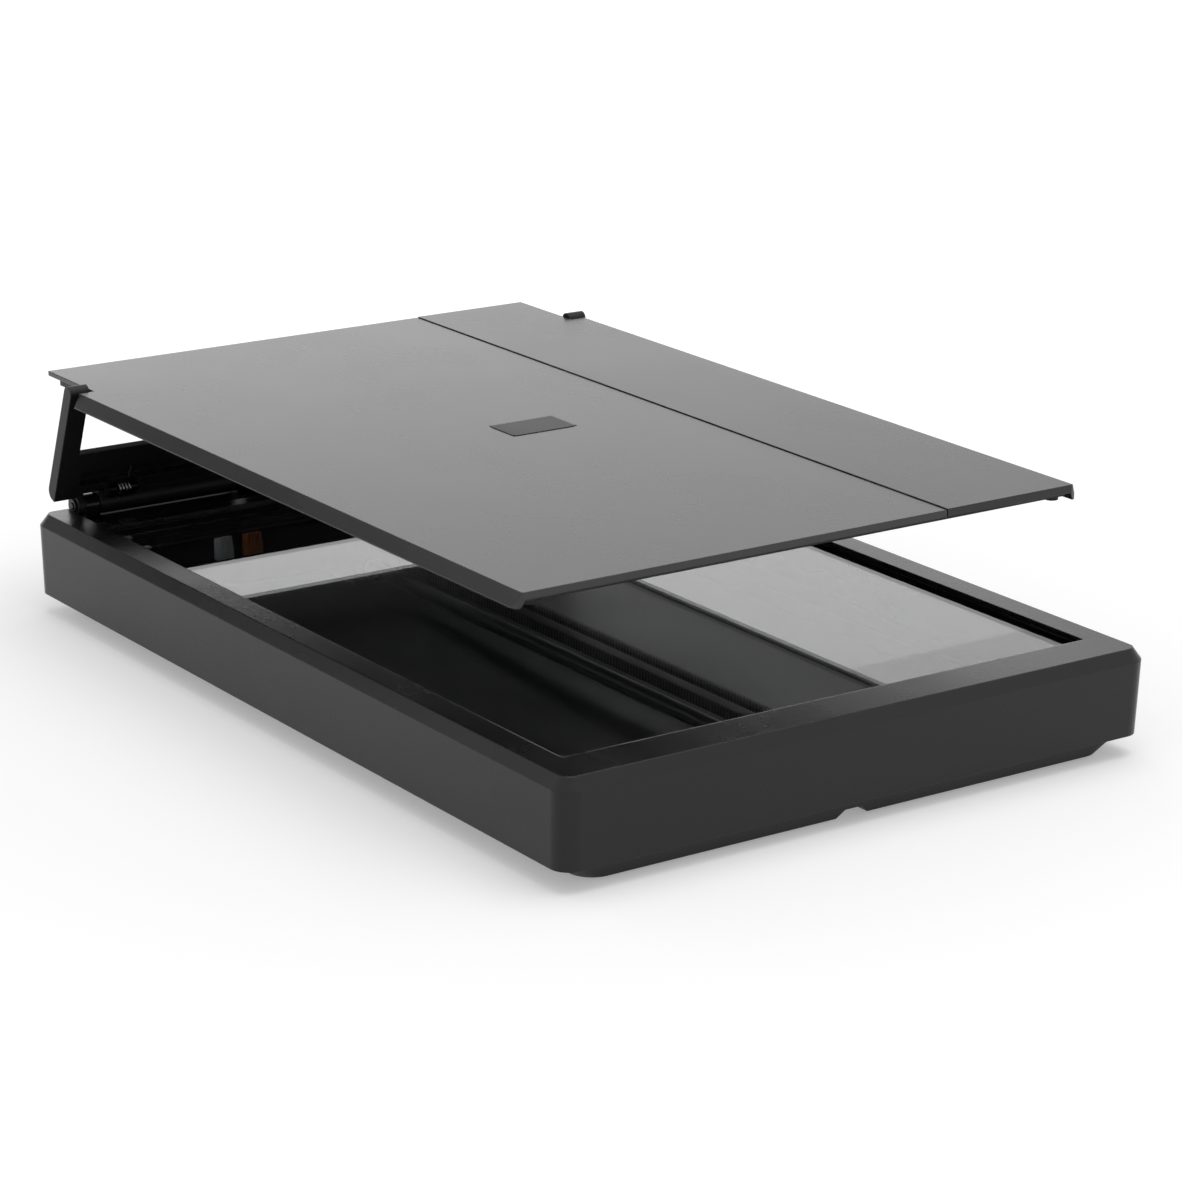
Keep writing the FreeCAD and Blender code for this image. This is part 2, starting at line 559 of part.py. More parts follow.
def make_lower_case():
    body = new_body("lower_case")
    sole = rounded(body, "case_width - 2 * belly_side_inset",
                   "case_length - 2 * belly_end_inset", "belly_corner",
                   ("0", "0", "foot_stand"))
    waist = rounded(body, "case_width - 2 * belly_top_inset",
                    "case_length - 2 * belly_top_inset", "belly_corner",
                    ("0", "0", "flange_low"))
    loft(body, sole, waist)
    flange = rounded(body, "cavity_width - 2 * flange_gap", "cavity_length - 2 * flange_gap",
                     "case_corner - case_wall", ("0", "0", "flange_low"))
    pad(body, flange, "flange_thick")
    tub = rounded(body, "tub_width", "tub_length", "belly_corner - floor_thick",
                  ("0", "0", "floor_top"))
    pad(body, tub, "flange_top - floor_top + 1", cut=True, flip=True)
    notch = outline(body, "XZ_Plane", (
        ("notch_x - notch_width_low / 2", "foot_stand - 0.5"),
        ("notch_x + notch_width_low / 2", "foot_stand - 0.5"),
        ("notch_x + notch_width_low / 2", "foot_stand"),
        ("notch_x + notch_width_high / 2", "foot_stand + notch_rise"),
        ("notch_x - notch_width_high / 2", "foot_stand + notch_rise"),
        ("notch_x - notch_width_low / 2", "foot_stand"),
    ), ("0", "0", "-(front_y + belly_end_inset + notch_depth)"))
    # A hood behind the notch keeps the tub closed there.
    block(body, ("notch_width_low + 3", "notch_depth + 1.5", "notch_rise + 1.2"),
          ("notch_x - notch_width_low / 2 - 1.5", "front_y + belly_end_inset + 1.0",
           "floor_top - 0.5"))
    pad(body, notch, "notch_depth + 8", cut=True, flip=True)
    # Saddles for the guide rod.
    for along in ("rod_front", "rod_rear - saddle_length"):
        block(body, ("saddle_width", "saddle_length", "rod_height + saddle_rise + 0.5"),
              ("rod_x - saddle_width / 2", along, "floor_top - 0.5"))
    drum(body, "rod_radius + rod_play", "rod_rear - rod_front + 2",
         ("rod_x", "rod_front - 1", "rod_z"), axis="y", cut=True)
    # Posts for the motor plate and the main board.
    for dx in ("-6", "motor_x - belt_x + motor_radius - 2"):
        drum(body, "2.2", "plate_low - floor_top + 0.3",
             ("belt_x + " + dx, "drive_y + gear_radius + 3.4", "floor_top - 0.3"))
    for dx in ("4", "board_width - 4"):
        drum(body, "2.0", "board_low - floor_top + 0.3",
             ("board_x - board_width / 2 + " + dx, "board_rear - board_length + 4",
              "floor_top - 0.3"))
    # Through holes and deep counterbores for the case screws.
    for across in both_sides("post_x"):
        for along in both_sides("post_y"):
            drum(body, "screw_head_radius + 1.3", "flange_top - floor_top + 0.3",
                 (across, along, "floor_top - 0.3"))
            drum(body, "screw_radius + 0.2", "belly_drop + 8",
                 (across, along, "foot_stand - 1"), cut=True)
            drum(body, "screw_head_radius + 0.3", "flange_low - foot_stand + 1.2",
                 (across, along, "foot_stand - 1"), cut=True)
    for across in both_sides("side_x - foot_inset_x"):
        for along in both_sides("rear_y - foot_inset_y"):
            drum(body, "foot_radius", "foot_sink",
                 (across, along, "foot_stand"), cut=True)
    return finish(body, "lower_case")


def make_glass_parts():
    glass = new_body("platen_glass")
    block(glass, ("glass_width", "glass_length", "glass_thick"),
          ("-glass_width / 2", "opening_front - glass_lap", "glass_low"))
    finish(glass, "platen_glass")

    tape = new_body("glass_tape")
    block(tape, ("opening_width + 2 * tape_width", "opening_length + 2 * tape_width",
                 "tape_thick"),
          ("-opening_width / 2 - tape_width", "opening_front - tape_width", "glass_top"))
    block(tape, ("opening_width", "opening_length", "tape_thick + 2"),
          ("-opening_width / 2", "opening_front", "glass_top - 1"), cut=True)
    finish(tape, "glass_tape")

    strip = new_body("calibration_strip")
    block(strip, ("glass_width - 10", "strip_length", "strip_thick"),
          ("5 - glass_width / 2", "opening_rear + glass_lap - strip_length",
           "glass_low - strip_thick"))
    finish(strip, "calibration_strip")


def make_rod_parts():
    rod = new_body("guide_rod")
    drum(rod, "rod_radius", "rod_rear - rod_front", ("rod_x", "rod_front", "rod_z"), axis="y")
    finish(rod, "guide_rod")

    clips = []
    for along in ("rod_front + 2", "rod_rear - saddle_length + 2"):
        clip = new_body("Clip")
        block(clip, ("saddle_width + 2 * clip_thick", "saddle_length - 4",
                     "saddle_rise + clip_thick + 3"),
              ("rod_x - saddle_width / 2 - clip_thick", along, "rod_z - 3"))
        block(clip, ("saddle_width", "saddle_length", "saddle_rise + 4"),
              ("rod_x - saddle_width / 2", along + " - 2", "rod_z - 4"), cut=True)
        clips.append(clip)
    finish(grouped("rod_clips", clips), "rod_clips")


def grouped(label, members):
    """Several separate solids under one name."""
    group = document.addObject("Part::Compound", label)
    group.Links = members
    return group


# The scan unit at its home place near the hinge.

def make_scan_unit():
    cradle = new_body("carriage_cradle")
    front = "carriage_home - cradle_length / 2"
    block(cradle, ("cradle_width", "cradle_length", "cradle_height"),
          ("-cradle_width / 2", front, "cradle_low"))
    block(cradle, ("cradle_width - 2 * cradle_wall", "cradle_length - 2 * cradle_wall",
                   "cradle_height"),
          ("cradle_wall - cradle_width / 2", front + " + cradle_wall",
           "cradle_low + cradle_wall"), cut=True)
    block(cradle, ("hub_width", "cradle_length", "cradle_low - rod_z + bush_radius + 1.4 + 0.5"),
          ("rod_x - hub_width / 2", front, "rod_z - bush_radius - 1.4"))
    drum(cradle, "bush_radius", "cradle_length + 2", ("rod_x", front + " - 1", "rod_z"),
         axis="y", cut=True)
    for place in both_sides("spring_spread"):
        drum(cradle, "spring_radius - spring_wire - 0.1", "2.2",
             (place, "carriage_home", "cradle_low + cradle_wall - 0.2"))
    finish(cradle, "carriage_cradle")

    bushes = []
    for along in (front, "carriage_home + cradle_length / 2 - bush_length"):
        bush = new_body("Bush")
        drum(bush, "bush_radius", "bush_length", ("rod_x", along, "rod_z"), axis="y")
        drum(bush, "rod_radius + rod_play", "bush_length + 2",
             ("rod_x", along + " - 1", "rod_z"), axis="y", cut=True)
        bushes.append(bush)
    finish(grouped("rod_bushes", bushes), "rod_bushes")

    housing = new_body("sensor_housing")
    low = "sensor_low + sensor_board_thick"
    block(housing, ("sensor_width", "sensor_length", "sensor_height - sensor_board_thick"),
          ("-sensor_width / 2", "carriage_home - sensor_length / 2", low))
    block(housing, ("sensor_width - 8", "lens_width", "sensor_height + 2"),
          ("4 - sensor_width / 2", "carriage_home - lens_width / 2", "sensor_low - 1"),
          cut=True)
    block(housing, ("sensor_width - 8", "guide_width", "guide_height + 4"),
          ("4 - sensor_width / 2", "carriage_home + lens_width / 2 + 1",
           "sensor_top - window_thick - guide_height"), cut=True)
    block(housing, ("sensor_width - 6", "sensor_length - 6", "window_thick + 1"),
          ("3 - sensor_width / 2", "carriage_home - sensor_length / 2 + 3",
           "sensor_top - window_thick"), cut=True)
    finish(housing, "sensor_housing")

    window = new_body("sensor_window")
    block(window, ("sensor_width - 6.4", "sensor_length - 6.4", "window_thick"),
          ("3.2 - sensor_width / 2", "carriage_home - sensor_length / 2 + 3.2",
           "sensor_top - window_thick"))
    finish(window, "sensor_window")

    lens = new_body("rod_lens_array")
    block(lens, ("sensor_width - 8.4", "lens_width - 0.2", "lens_height"),
          ("4.2 - sensor_width / 2", "carriage_home - lens_width / 2 + 0.1",
           "sensor_top - window_thick - 0.6 - lens_height"))
    finish(lens, "rod_lens_array")

    guide = new_body("light_guide")
    block(guide, ("sensor_width - 8.4", "guide_width - 0.2", "guide_height - 0.2"),
          ("4.2 - sensor_width / 2", "carriage_home + lens_width / 2 + 1.1",
           "sensor_top - window_thick - guide_height + 0.1"))
    finish(guide, "light_guide")

    board = new_body("sensor_board")
    block(board, ("sensor_width - 1", "sensor_length - 1", "sensor_board_thick"),
          ("0.5 - sensor_width / 2", "carriage_home - sensor_length / 2 + 0.5", "sensor_low"))
    block(board, ("14", "5", "1.6"), ("board_x", "carriage_home + 2.6", "sensor_low - 1.5"))
    finish(board, "sensor_board")

    glides = []
    for across in ("-sensor_width / 2", "sensor_width / 2 - glide_size"):
        for along in ("-sensor_length / 2", "sensor_length / 2 - 2.8"):
            glide = new_body("Glide")
            block(glide, ("glide_size", "2.8", "glide_height"),
                  (across, "carriage_home + " + along, "sensor_top"))
            glides.append(glide)
    finish(grouped("glide_pads", glides), "glide_pads")

    jaw = new_body("belt_clamp")
    run = "belt_x - pulley_radius - belt_thick"
    block(jaw, ("belt_thick + 3.6", "clamp_length", "cradle_low - belt_low + 0.8"),
          (run + " - 1.8", "clamp_front", "belt_low - 0.8"))
    block(jaw, ("belt_thick + 0.8", "clamp_length + 2", "belt_width + 1.6"),
          (run + " - 0.4", "clamp_front - 1", "belt_low - 0.81"), cut=True)
    finish(jaw, "belt_clamp")


def arc_beside(start, corner, stop):
    """The arc that leaves one point and reaches another, tangent to the lines to a corner."""
    middle = (start + stop) * 0.5
    half = (stop - start).Length / 2.0
    rise = corner - middle
    angle = math.atan2(rise.Length, half)
    bulge = rise * (half * math.tan(angle / 2.0) / rise.Length)
    return Part.Arc(start, middle + bulge, stop).toShape()


def biarc(start, leaving, stop, arriving):
    """Two arcs that join smoothly, with set directions at both ends."""
    span = stop - start
    both = leaving + arriving
    square = 2.0 * (leaving.dot(arriving) - 1.0)
    linear = -2.0 * span.dot(both)
    root = math.sqrt(linear * linear - 4.0 * square * span.dot(span))
    reach = (-linear - root) / (2.0 * square)
    first = start + leaving * reach
    second = stop - arriving * reach
    joint = (first + second) * 0.5
    return [arc_beside(start, first, joint), arc_beside(joint, second, stop)]


def wound_wire(radius, wire, pitch, quarters, first_leg=0.0, last_leg=0.0):
    """One unbroken wire about local Z: a straight leg, the turns, a second leg."""
    rise = pitch / (2.0 * math.pi)
    points = []
    ways = []
    for k in range(quarters + 1):
        angle = 0.5 * math.pi * k
        points.append(Vector(radius * math.cos(angle), radius * math.sin(angle), rise * angle))
        way = Vector(-radius * math.sin(angle), radius * math.cos(angle), rise)
        ways.append(way.normalize())
    edges = []
    start = points[0] - ways[0] * first_leg
    if first_leg:
        edges.append(Part.LineSegment(start, points[0]).toShape())
    for k in range(quarters):
        edges += biarc(points[k], ways[k], points[k + 1], ways[k + 1])
    if last_leg:
        edges.append(Part.LineSegment(points[-1], points[-1] + ways[-1] * last_leg).toShape())
    path = Part.Wire(edges)
    section = Part.Wire([Part.Circle(start, ways[0], wire / 2.0).toShape()])
    tube = path.makePipeShell([section], True, False)
    return tube, least_gap(path, radius, wire)


def least_gap(path, radius, wire):
    """The smallest gap of a wound wire to itself, measured on points along it."""
    count = 400
    points = path.discretize(Number=count)
    step = path.Length / (count - 1)
    apart = int(math.pi * radius / step)
    gaps = [(points[i] - points[j]).Length - wire
            for i in range(count) for j in range(i + apart, count)]
    return min(gaps)


def make_lift_springs():
    low = value("cradle_low") + value("cradle_wall")
    wire = value("spring_wire")
    room = value("spring_room")
    turns = value("spring_turns")
    pitch = (room - wire - 0.1) / turns
    coils = []
    for side in (-1, 1):
        coil, gap = wound_wire(value("spring_radius"), wire, pitch, int(round(4 * turns)))
        coil.Placement = Placement(Vector(side * value("spring_spread"),
                                          value("carriage_home"), low + wire / 2.0 + 0.05),
                                   Rotation())
        coils.append(coil)
    print("lift springs, least gap of a wire to itself:", round(gap, 3), "mm")
    springs = document.addObject("Part::Feature", "lift_springs")
    springs.Shape = Part.makeCompound(coils)
    finish(springs, "lift_springs")


# The belt drive: belt, two pulleys, driven gear, pinion, motor and their brackets.

def toothed_wheel(body, radius, teeth, thick, low):
    """A disc with straight teeth round the body's own Z axis."""
    drum(body, radius + " - tooth_height", thick, ("0", "0", low))
    half = "pi * " + radius + " / (2 * " + teeth + ")"
    sketch = outline(body, "XY_Plane", (
        (radius + " - tooth_height - 0.6", "-(" + half + ")"),
        (radius, "-(" + half + ") * 0.6"),
        (radius, "(" + half + ") * 0.6"),
        (radius + " - tooth_height - 0.6", half),
    ), ("0", "0", low))
    tooth = pad(body, sketch, thick)
    ring = body.newObject("PartDesign::PolarPattern", "Teeth")
    ring.Originals = [tooth]
    ring.Axis = (sketch, ["N_Axis"])
    ring.Angle = 360
    bind(ring, "Occurrences", teeth)
    body.Tip = ring


def make_drive():
    belt = new_body("toothed_belt")
    outer = "pulley_radius + belt_thick"
    span = "drive_y - idler_y"
    block(belt, ("2 * (" + outer + ")", span, "belt_width"),
          ("belt_x - (" + outer + ")", "idler_y", "belt_low"))
    drum(belt, outer, "belt_width", ("belt_x", "idler_y", "belt_low"))
    drum(belt, outer, "belt_width", ("belt_x", "drive_y", "belt_low"))
    block(belt, ("2 * pulley_radius + 0.1", span, "belt_width + 2"),
          ("belt_x - pulley_radius - 0.05", "idler_y", "belt_low - 1"), cut=True)
    drum(belt, "pulley_radius + 0.05", "belt_width + 2", ("belt_x", "idler_y", "belt_low - 1"),
         cut=True)
    drum(belt, "pulley_radius + 0.05", "belt_width + 2", ("belt_x", "drive_y", "belt_low - 1"),
         cut=True)
    finish(belt, "toothed_belt")

    drive = new_body("drive_pulley")
    drum(drive, "pulley_radius - 0.15", "pulley_top - pulley_low", ("0", "0", "pulley_low"))
    drum(drive, "pulley_radius + belt_thick + pulley_flange_rise", "pulley_flange - 0.1",
         ("0", "0", "pulley_low"))
    toothed_wheel(drive, "gear_radius", "gear_teeth", "gear_thick", "pulley_top")
    drum(drive, "axle_radius + axle_play", "gear_top - pulley_low + 2",
         ("0", "0", "pulley_low - 1"), cut=True)
    finish(drive, "drive_pulley", ("belt_x", "drive_y", "0"))

    idler = new_body("idler_pulley")
    drum(idler, "pulley_radius - 0.15", "pulley_top - pulley_low", ("0", "0", "pulley_low"))
    for low in ("pulley_low", "pulley_top - pulley_flange + 0.1"):
        drum(idler, "pulley_radius + belt_thick + pulley_flange_rise", "pulley_flange - 0.1",
             ("0", "0", low))
    drum(idler, "axle_radius + axle_play", "pulley_top - pulley_low + 2",
         ("0", "0", "pulley_low - 1"), cut=True)
    finish(idler, "idler_pulley", ("belt_x", "idler_y", "0"))

    pinion = new_body("motor_pinion")
    toothed_wheel(pinion, "pinion_radius", "pinion_teeth", "gear_thick", "pulley_top")
    drum(pinion, "motor_shaft_radius", "gear_thick + 2", ("0", "0", "pulley_top - 1"), cut=True)
    finish(pinion, "motor_pinion", ("motor_x", "motor_y", "0"))

    place = ("motor_x", "motor_y")
    shaft = new_body("motor_shaft")
    drum(shaft, "motor_shaft_radius", "gear_thick + plate_gap + plate_thick + 0.8",
         place + ("pulley_top",))
    finish(shaft, "motor_shaft")

    motor = new_body("stepper_motor")
    drum(motor, "motor_radius", "motor_height", place + ("plate_top",))
    drum(motor, "motor_shaft_radius + 0.1", "1.2", place + ("plate_top - 0.2",), cut=True)
    block(motor, ("9", "6", "5"), ("motor_x - 4.5", "motor_y + motor_radius - 3.5",
                                   "plate_top + 2"))
    finish(motor, "stepper_motor")

    plate = new_body("motor_plate")
    left = "belt_x - 10"
    right = "motor_x + motor_radius + 2"
    block(plate, (right + " - (" + left + ")", "gear_radius + 13", "plate_thick"),
          (left, "drive_y - 6", "plate_low"))
    drum(plate, "axle_radius", "plate_thick + 2", ("belt_x", "drive_y", "plate_low - 1"),
         cut=True)
    drum(plate, "motor_shaft_radius + 0.6", "plate_thick + 2",
         ("motor_x", "motor_y", "plate_low - 1"), cut=True)
    finish(plate, "motor_plate")

    bracket = new_body("idler_bracket")
    block(bracket, ("12", "22", "idler_plate_thick"),
          ("belt_x - 3", "idler_y - 11", "pulley_top + 0.4"))
    for along in ("idler_y - 11", "idler_y + 10"):
        block(bracket, ("7", "1", "pulley_top + 0.9 - floor_top"),
              ("belt_x - 3", along, "floor_top"))
    drum(bracket, "axle_radius", "4", ("belt_x", "idler_y", "pulley_top"), cut=True)
    finish(bracket, "idler_bracket")

    axles = []
    for along, top in (("drive_y", "plate_top"), ("idler_y", "pulley_top + 1.4")):
        axle = new_body("Axle")
        drum(axle, "axle_radius", "(" + top + ") - floor_top", ("belt_x", along, "floor_top"))
        axles.append(axle)
    finish(grouped("pulley_axles", axles), "pulley_axles")


def make_electronics():
    board = new_body("main_board")
    left = "board_x - board_width / 2"
    block(board, ("board_width", "board_length", "board_thick"),
          (left, "board_rear - board_length", "board_low"))
    finish(board, "main_board")

    chips = new_body("board_chips")
    block(chips, ("11", "11", "1.4"), ("board_right - 29", "board_rear - 16", "board_top"))
    block(chips, ("6", "4.4", "1.2"), ("board_right - 13", "board_rear - 12", "board_top"))
    block(chips, ("14", "4.4", "3"), ("board_right - 29", "board_rear - board_length + 1.6",
                                      "board_top"))
    drum(chips, "2.4", "5.4", ("board_right - 4", "board_rear - 8", "board_top"))
    block(chips, ("9", "3.6", "4"), ("board_right - 43", "board_rear - board_length + 2",
                                     "board_top"))
    finish(chips, "board_chips")

    socket = new_body("data_socket")
    block(socket, ("socket_width", "socket_length", "socket_height"),
          ("socket_x - socket_width / 2", "rear_y - skirt_inset - socket_length",
           "board_top"))
    block(socket, ("socket_width - 2 * socket_wall", "socket_length",
                   "socket_height - 2 * socket_wall"),
          ("socket_x - socket_width / 2 + socket_wall",
           "rear_y - skirt_inset - socket_length + 1.6", "board_top + socket_wall"), cut=True)
    finish(socket, "data_socket")

    tongue = new_body("socket_tongue")
    block(tongue, ("socket_width - 5.4", "socket_length - 3.4", "1.6"),
          ("socket_x - socket_width / 2 + 2.7",
           "rear_y - skirt_inset - socket_length + 1.6", "board_top + socket_height - 3.4"))
    finish(tongue, "socket_tongue")


# The rear flap lies along minus Y from its pivot when flat, and turns up by its lean.

def make_flap():
    body = new_body("hinge_flap")
    heel = rounded_heel(body)
    pad(body, heel, "2 * flap_outer_x", flip=False)
    # The window between the arms, open at the arms' ends.
    block(body, ("2 * arm_inner_x", "arm_reach + arm_tip - panel_reach + 1", "flap_thick + 2"),
          ("-arm_inner_x", "-arm_reach - arm_tip - 1", "flap_low - 1"), cut=True)
    # The step that the lid's tongue settles on.
    block(body, ("2 * arm_inner_x", "panel_reach - step_reach + 1", "flap_thick"),
          ("-arm_inner_x", "-panel_reach - 1", "flap_low + 2.9"), cut=True)
    # Inside the well the heel runs on into the hinge barrel.
    barrel_half = "opening_width / 2 - barrel_side_gap"
    block(body, ("2 * (" + barrel_half + ")", "heel_gap + heel_radius + 1", "flap_thick"),
          ("-(" + barrel_half + ")", "-heel_gap - heel_radius - 1", "flap_low"))
    drum(body, "barrel_radius", "2 * (" + barrel_half + ")",
         ("-(" + barrel_half + ")", "0", "0"), axis="x")
    # Hollows in the front face leave a skin, ribs and two edges.
    rib = "2.0"
    bays = 6
    bay = "((2 * arm_inner_x - " + rib + ") / {})".format(bays)
    for k in range(bays):
        start = "-arm_inner_x + " + rib + " + {} * ".format(k) + bay
        block(body, (bay + " - " + rib, "step_reach - 11", "flap_thick - panel_skin"),
              (start, "-step_reach + 1.5", "flap_low"), cut=True)
    for place in both_sides("boss_outer_x") + both_sides("boss_inner_x"):
        block(body, ("boss_width + 2 * boss_side_gap", "2 * boss_radius + 3.4", "14"),
              (place + " - boss_width / 2 - boss_side_gap", "-boss_radius - 1.7", "-7"),
              cut=True)
    # Relief for the rings and the side bosses beyond the outer bosses.
    drum(body, "shaft_radius + shaft_play", "opening_width + 4",
         ("-opening_width / 2 - 2", "0", "0"), axis="x", cut=True)
    drum(body, "pin_radius", "2 * flap_outer_x - 0.7",
         ("0.35 - flap_outer_x", "-arm_reach", "pin_b"), axis="x", cut=True)
    # Lugs for the spring pins, on the front face.
    coil_out = "torsion_radius + torsion_wire / 2 + torsion_relief"
    for side in ("-", ""):
        middle = side + "torsion_x"
        block(body, ("2 * spring_pin_half - 4", "torsion_leg + " + coil_out + " + 0.4", "10"),
              (middle + " - spring_pin_half + 2", "-torsion_reach - torsion_leg - 0.4",
               coil_out + " - torsion_drop - 10"), cut=True)
        for across in ("torsion_x - spring_pin_half", "torsion_x + spring_pin_half - 2"):
            place = across if side == "" else "-(" + across + ") - 2"
            block(body, ("2", "4", "torsion_drop + 4.4"),
                  (place, "-torsion_reach - 2", "-torsion_drop - 1.8"))
        drum(body, "spring_pin_radius", "2 * spring_pin_half + 2",
             (middle + " - spring_pin_half - 1", "-torsion_reach", "-torsion_drop"),
             axis="x", cut=True)
    return finish(body, "hinge_flap", FLAP)


def rounded_heel(body):
    """Side view of the flap: round arm tip, round heel over the rims."""
    sketch = new_sketch(body, "YZ_Plane", ("0", "0", "-flap_outer_x"))
    low, high = value("flap_low"), value("flap_high")
    heel, bend = -value("heel_gap"), value("heel_radius")
    half = value("flap_thick") / 2.0
    tip = half - value("arm_reach") - value("arm_tip")
    up = Vector(0, 0, 1)
    sketch.addGeometry(Part.LineSegment(Vector(tip, low, 0), Vector(heel, low, 0)), False)
    sketch.addGeometry(Part.LineSegment(Vector(heel, low, 0), Vector(heel, high - bend, 0)),
                       False)
    heel_round = Part.Circle(Vector(heel - bend, high - bend, 0), up, bend)
    sketch.addGeometry(Part.ArcOfCircle(heel_round, 0, 0.5 * math.pi), False)
    sketch.addGeometry(Part.LineSegment(Vector(heel - bend, high, 0), Vector(tip, high, 0)),
                       False)
    tip_round = Part.Circle(Vector(tip, low + half, 0), up, half)
    sketch.addGeometry(Part.ArcOfCircle(tip_round, 0.5 * math.pi, 1.5 * math.pi), False)
    link = Sketcher.Constraint
    sketch.addConstraint(link("Coincident", 0, 2, 1, 1))
    for k in (1, 2, 3, 4):
        sketch.addConstraint(link("Tangent", k, 2, (k + 1) % 5, 1))
    sketch.addConstraint(link("Horizontal", 0))
    sketch.addConstraint(link("Vertical", 1))
    number = sketch.addConstraint(link("Radius", 2, bend))
    bind(sketch, "Constraints[{}]".format(number), "heel_radius")
    fix_distance(sketch, "DistanceX", (-1, 1), (0, 2), "-heel_gap")
    fix_distance(sketch, "DistanceY", (-1, 1), (0, 2), "flap_low")
    fix_distance(sketch, "DistanceY", (-1, 1), (3, 2), "flap_high")
    fix_distance(sketch, "DistanceX", (-1, 1), (3, 2),
                 "-arm_reach - arm_tip + flap_thick / 2")
    fix_distance(sketch, "DistanceX", (-1, 1), (0, 1),
                 "-arm_reach - arm_tip + flap_thick / 2")
    return sketch


def make_hinge_parts():
    shaft = new_body("hinge_shaft")
    drum(shaft, "shaft_radius", "2 * shaft_half", ("-shaft_half", "pivot_y", "pivot_z"),
         axis="x")
    finish(shaft, "hinge_shaft")

    rings = []
    for start in ("-shaft_half + ring_inset", "shaft_half - ring_inset - ring_thick"):
        ring = new_body("Ring")
        drum(ring, "ring_radius", "ring_thick", (start, "pivot_y", "pivot_z"), axis="x")
        drum(ring, "shaft_radius", "ring_thick + 2", (start + " - 1", "pivot_y", "pivot_z"),
             axis="x", cut=True)
        rings.append(ring)
    finish(grouped("retaining_rings", rings), "retaining_rings")

    pins = []
    for start in ("lug_start", "-flap_outer_x + 0.4"):
        pin = new_body("Pin")
        lug = "tongue_half - lug_width"
        if start == "lug_start":
            start = lug
        drum(pin, "pin_radius", "flap_outer_x - 0.4 - (" + lug + ")",
             (start, "-arm_reach", "pin_b"), axis="x")
        pins.append(pin)
    finish(grouped("lid_pivot_pins", pins), "lid_pivot_pins", FLAP)

    pins = []
    for middle in ("-torsion_x", "torsion_x"):
        pin = new_body("Pin")
        drum(pin, "spring_pin_radius", "2 * spring_pin_half",
             (middle + " - spring_pin_half", "-torsion_reach", "-torsion_drop"), axis="x")
        pins.append(pin)
    finish(grouped("spring_pins", pins), "spring_pins", FLAP)


def make_torsion_springs():
    """Coils on the spring pins, each with a leg up the panel and a short one forwards."""
    wire = value("torsion_wire")
    pitch = wire + value("torsion_gap")
    quarters = int(round(4 * value("torsion_turns"))) + 1
    half = pitch * quarters / 8.0
    coil, gap = wound_wire(value("torsion_radius"), wire, pitch, quarters,
                           value("torsion_leg"), value("torsion_end"))
    print("torsion springs, least gap of a wire to itself:", round(gap, 3), "mm")
    coil.Placement = Placement(Vector(half - value("torsion_x"), -value("torsion_reach"),
                                      -value("torsion_drop")),
                               Rotation(Vector(0, 1, 0), -90))
    other = coil.mirror(Vector(0, 0, 0), Vector(1, 0, 0))
    springs = document.addObject("Part::Feature", "torsion_springs")
    springs.Shape = Part.makeCompound([coil, other])
    finish(springs, "torsion_springs", FLAP)


# The lid is drawn in its closed place and lifted to the open one.

def make_lid_panels():
    front_length = "notch_y - lid_front"
    tongue_length = "lid_rear - notch_y"
    seam_left = "seam_x - seam_gap / 2"
    seam_right = "seam_x + seam_gap / 2"

    wide = new_body("lid_wide_panel")
    side = outline(wide, "XZ_Plane", (
        ("-flap_outer_x", "closed_low"),
        ("-flap_outer_x + lid_wall", "closed_low"),
        ("-lid_top_half + lid_wall - 0.4", "skin_low"),
        (seam_left, "skin_low"),
        (seam_left, "closed_top"),
        ("-lid_top_half", "closed_top"),
    ), ("0", "0", "-lid_front"))
    pad(wide, side, front_length, flip=True)
    block(wide, (seam_left + " + tongue_half", tongue_length + " + 1", "lid_skin"),
          ("-tongue_half", "notch_y - 1", "skin_low"))
    block(wide, (seam_left + " + lid_top_half - 1", "1.6", "lid_front_height - lid_skin + 0.2"),
          ("-lid_top_half + 1", "lid_front", "closed_top - lid_front_height"))
    block(wide, ("badge_width + 0.4", "badge_length + 0.4", "badge_thick"),
          ("badge_x - badge_width / 2 - 0.2",
           "badge_y - lid_shift_y - badge_length / 2 - 0.2",
           "closed_top + badge_proud - badge_thick"), cut=True)
    corner_cut(wide, "-")
    finish(wide, "lid_wide_panel", LID)

    narrow = new_body("lid_side_panel")
    side = outline(narrow, "XZ_Plane", (
        (seam_right, "skin_low"),
        ("lid_top_half - lid_wall + 0.4", "skin_low"),
        ("flap_outer_x - lid_wall", "closed_low"),
        ("flap_outer_x", "closed_low"),
        ("lid_top_half", "closed_top + side_panel_step"),
        (seam_right, "closed_top + side_panel_step"),
    ), ("0", "0", "-lid_front"))
    pad(narrow, side, front_length, flip=True)
    block(narrow, ("tongue_half - (" + seam_right + ")", tongue_length + " + 1",
                   "lid_skin + side_panel_step"),
          (seam_right, "notch_y - 1", "skin_low"))
    block(narrow, ("lid_top_half - 1 - (" + seam_right + ")", "1.6",
                   "lid_front_height - lid_skin + 0.2"),
          (seam_right, "lid_front", "closed_top - lid_front_height"))
    corner_cut(narrow, "")
    finish(narrow, "lid_side_panel", LID)


def corner_cut(body, side):
    """Trim a front corner of the lid at a slant, a flat for its round."""
    reach = "flap_outer_x"
    near = side + "(" + reach + " - lid_corner)"
    far = side + "(" + reach + " + 1)"
    trim = outline(body, "XY_Plane", (
        (near, "lid_front - 1"),
        (far, "lid_front - 1"),
        (far, "lid_front + lid_corner"),
        (side + "(" + reach + ")", "lid_front + lid_corner"),
        (side + "(" + reach + " - lid_corner * 0.293)", "lid_front + lid_corner * 0.293"),
        (near, "lid_front"),
    ), ("0", "0", "closed_low - 1"))
    pad(body, trim, "flap_thick + 3", cut=True, flip=True)


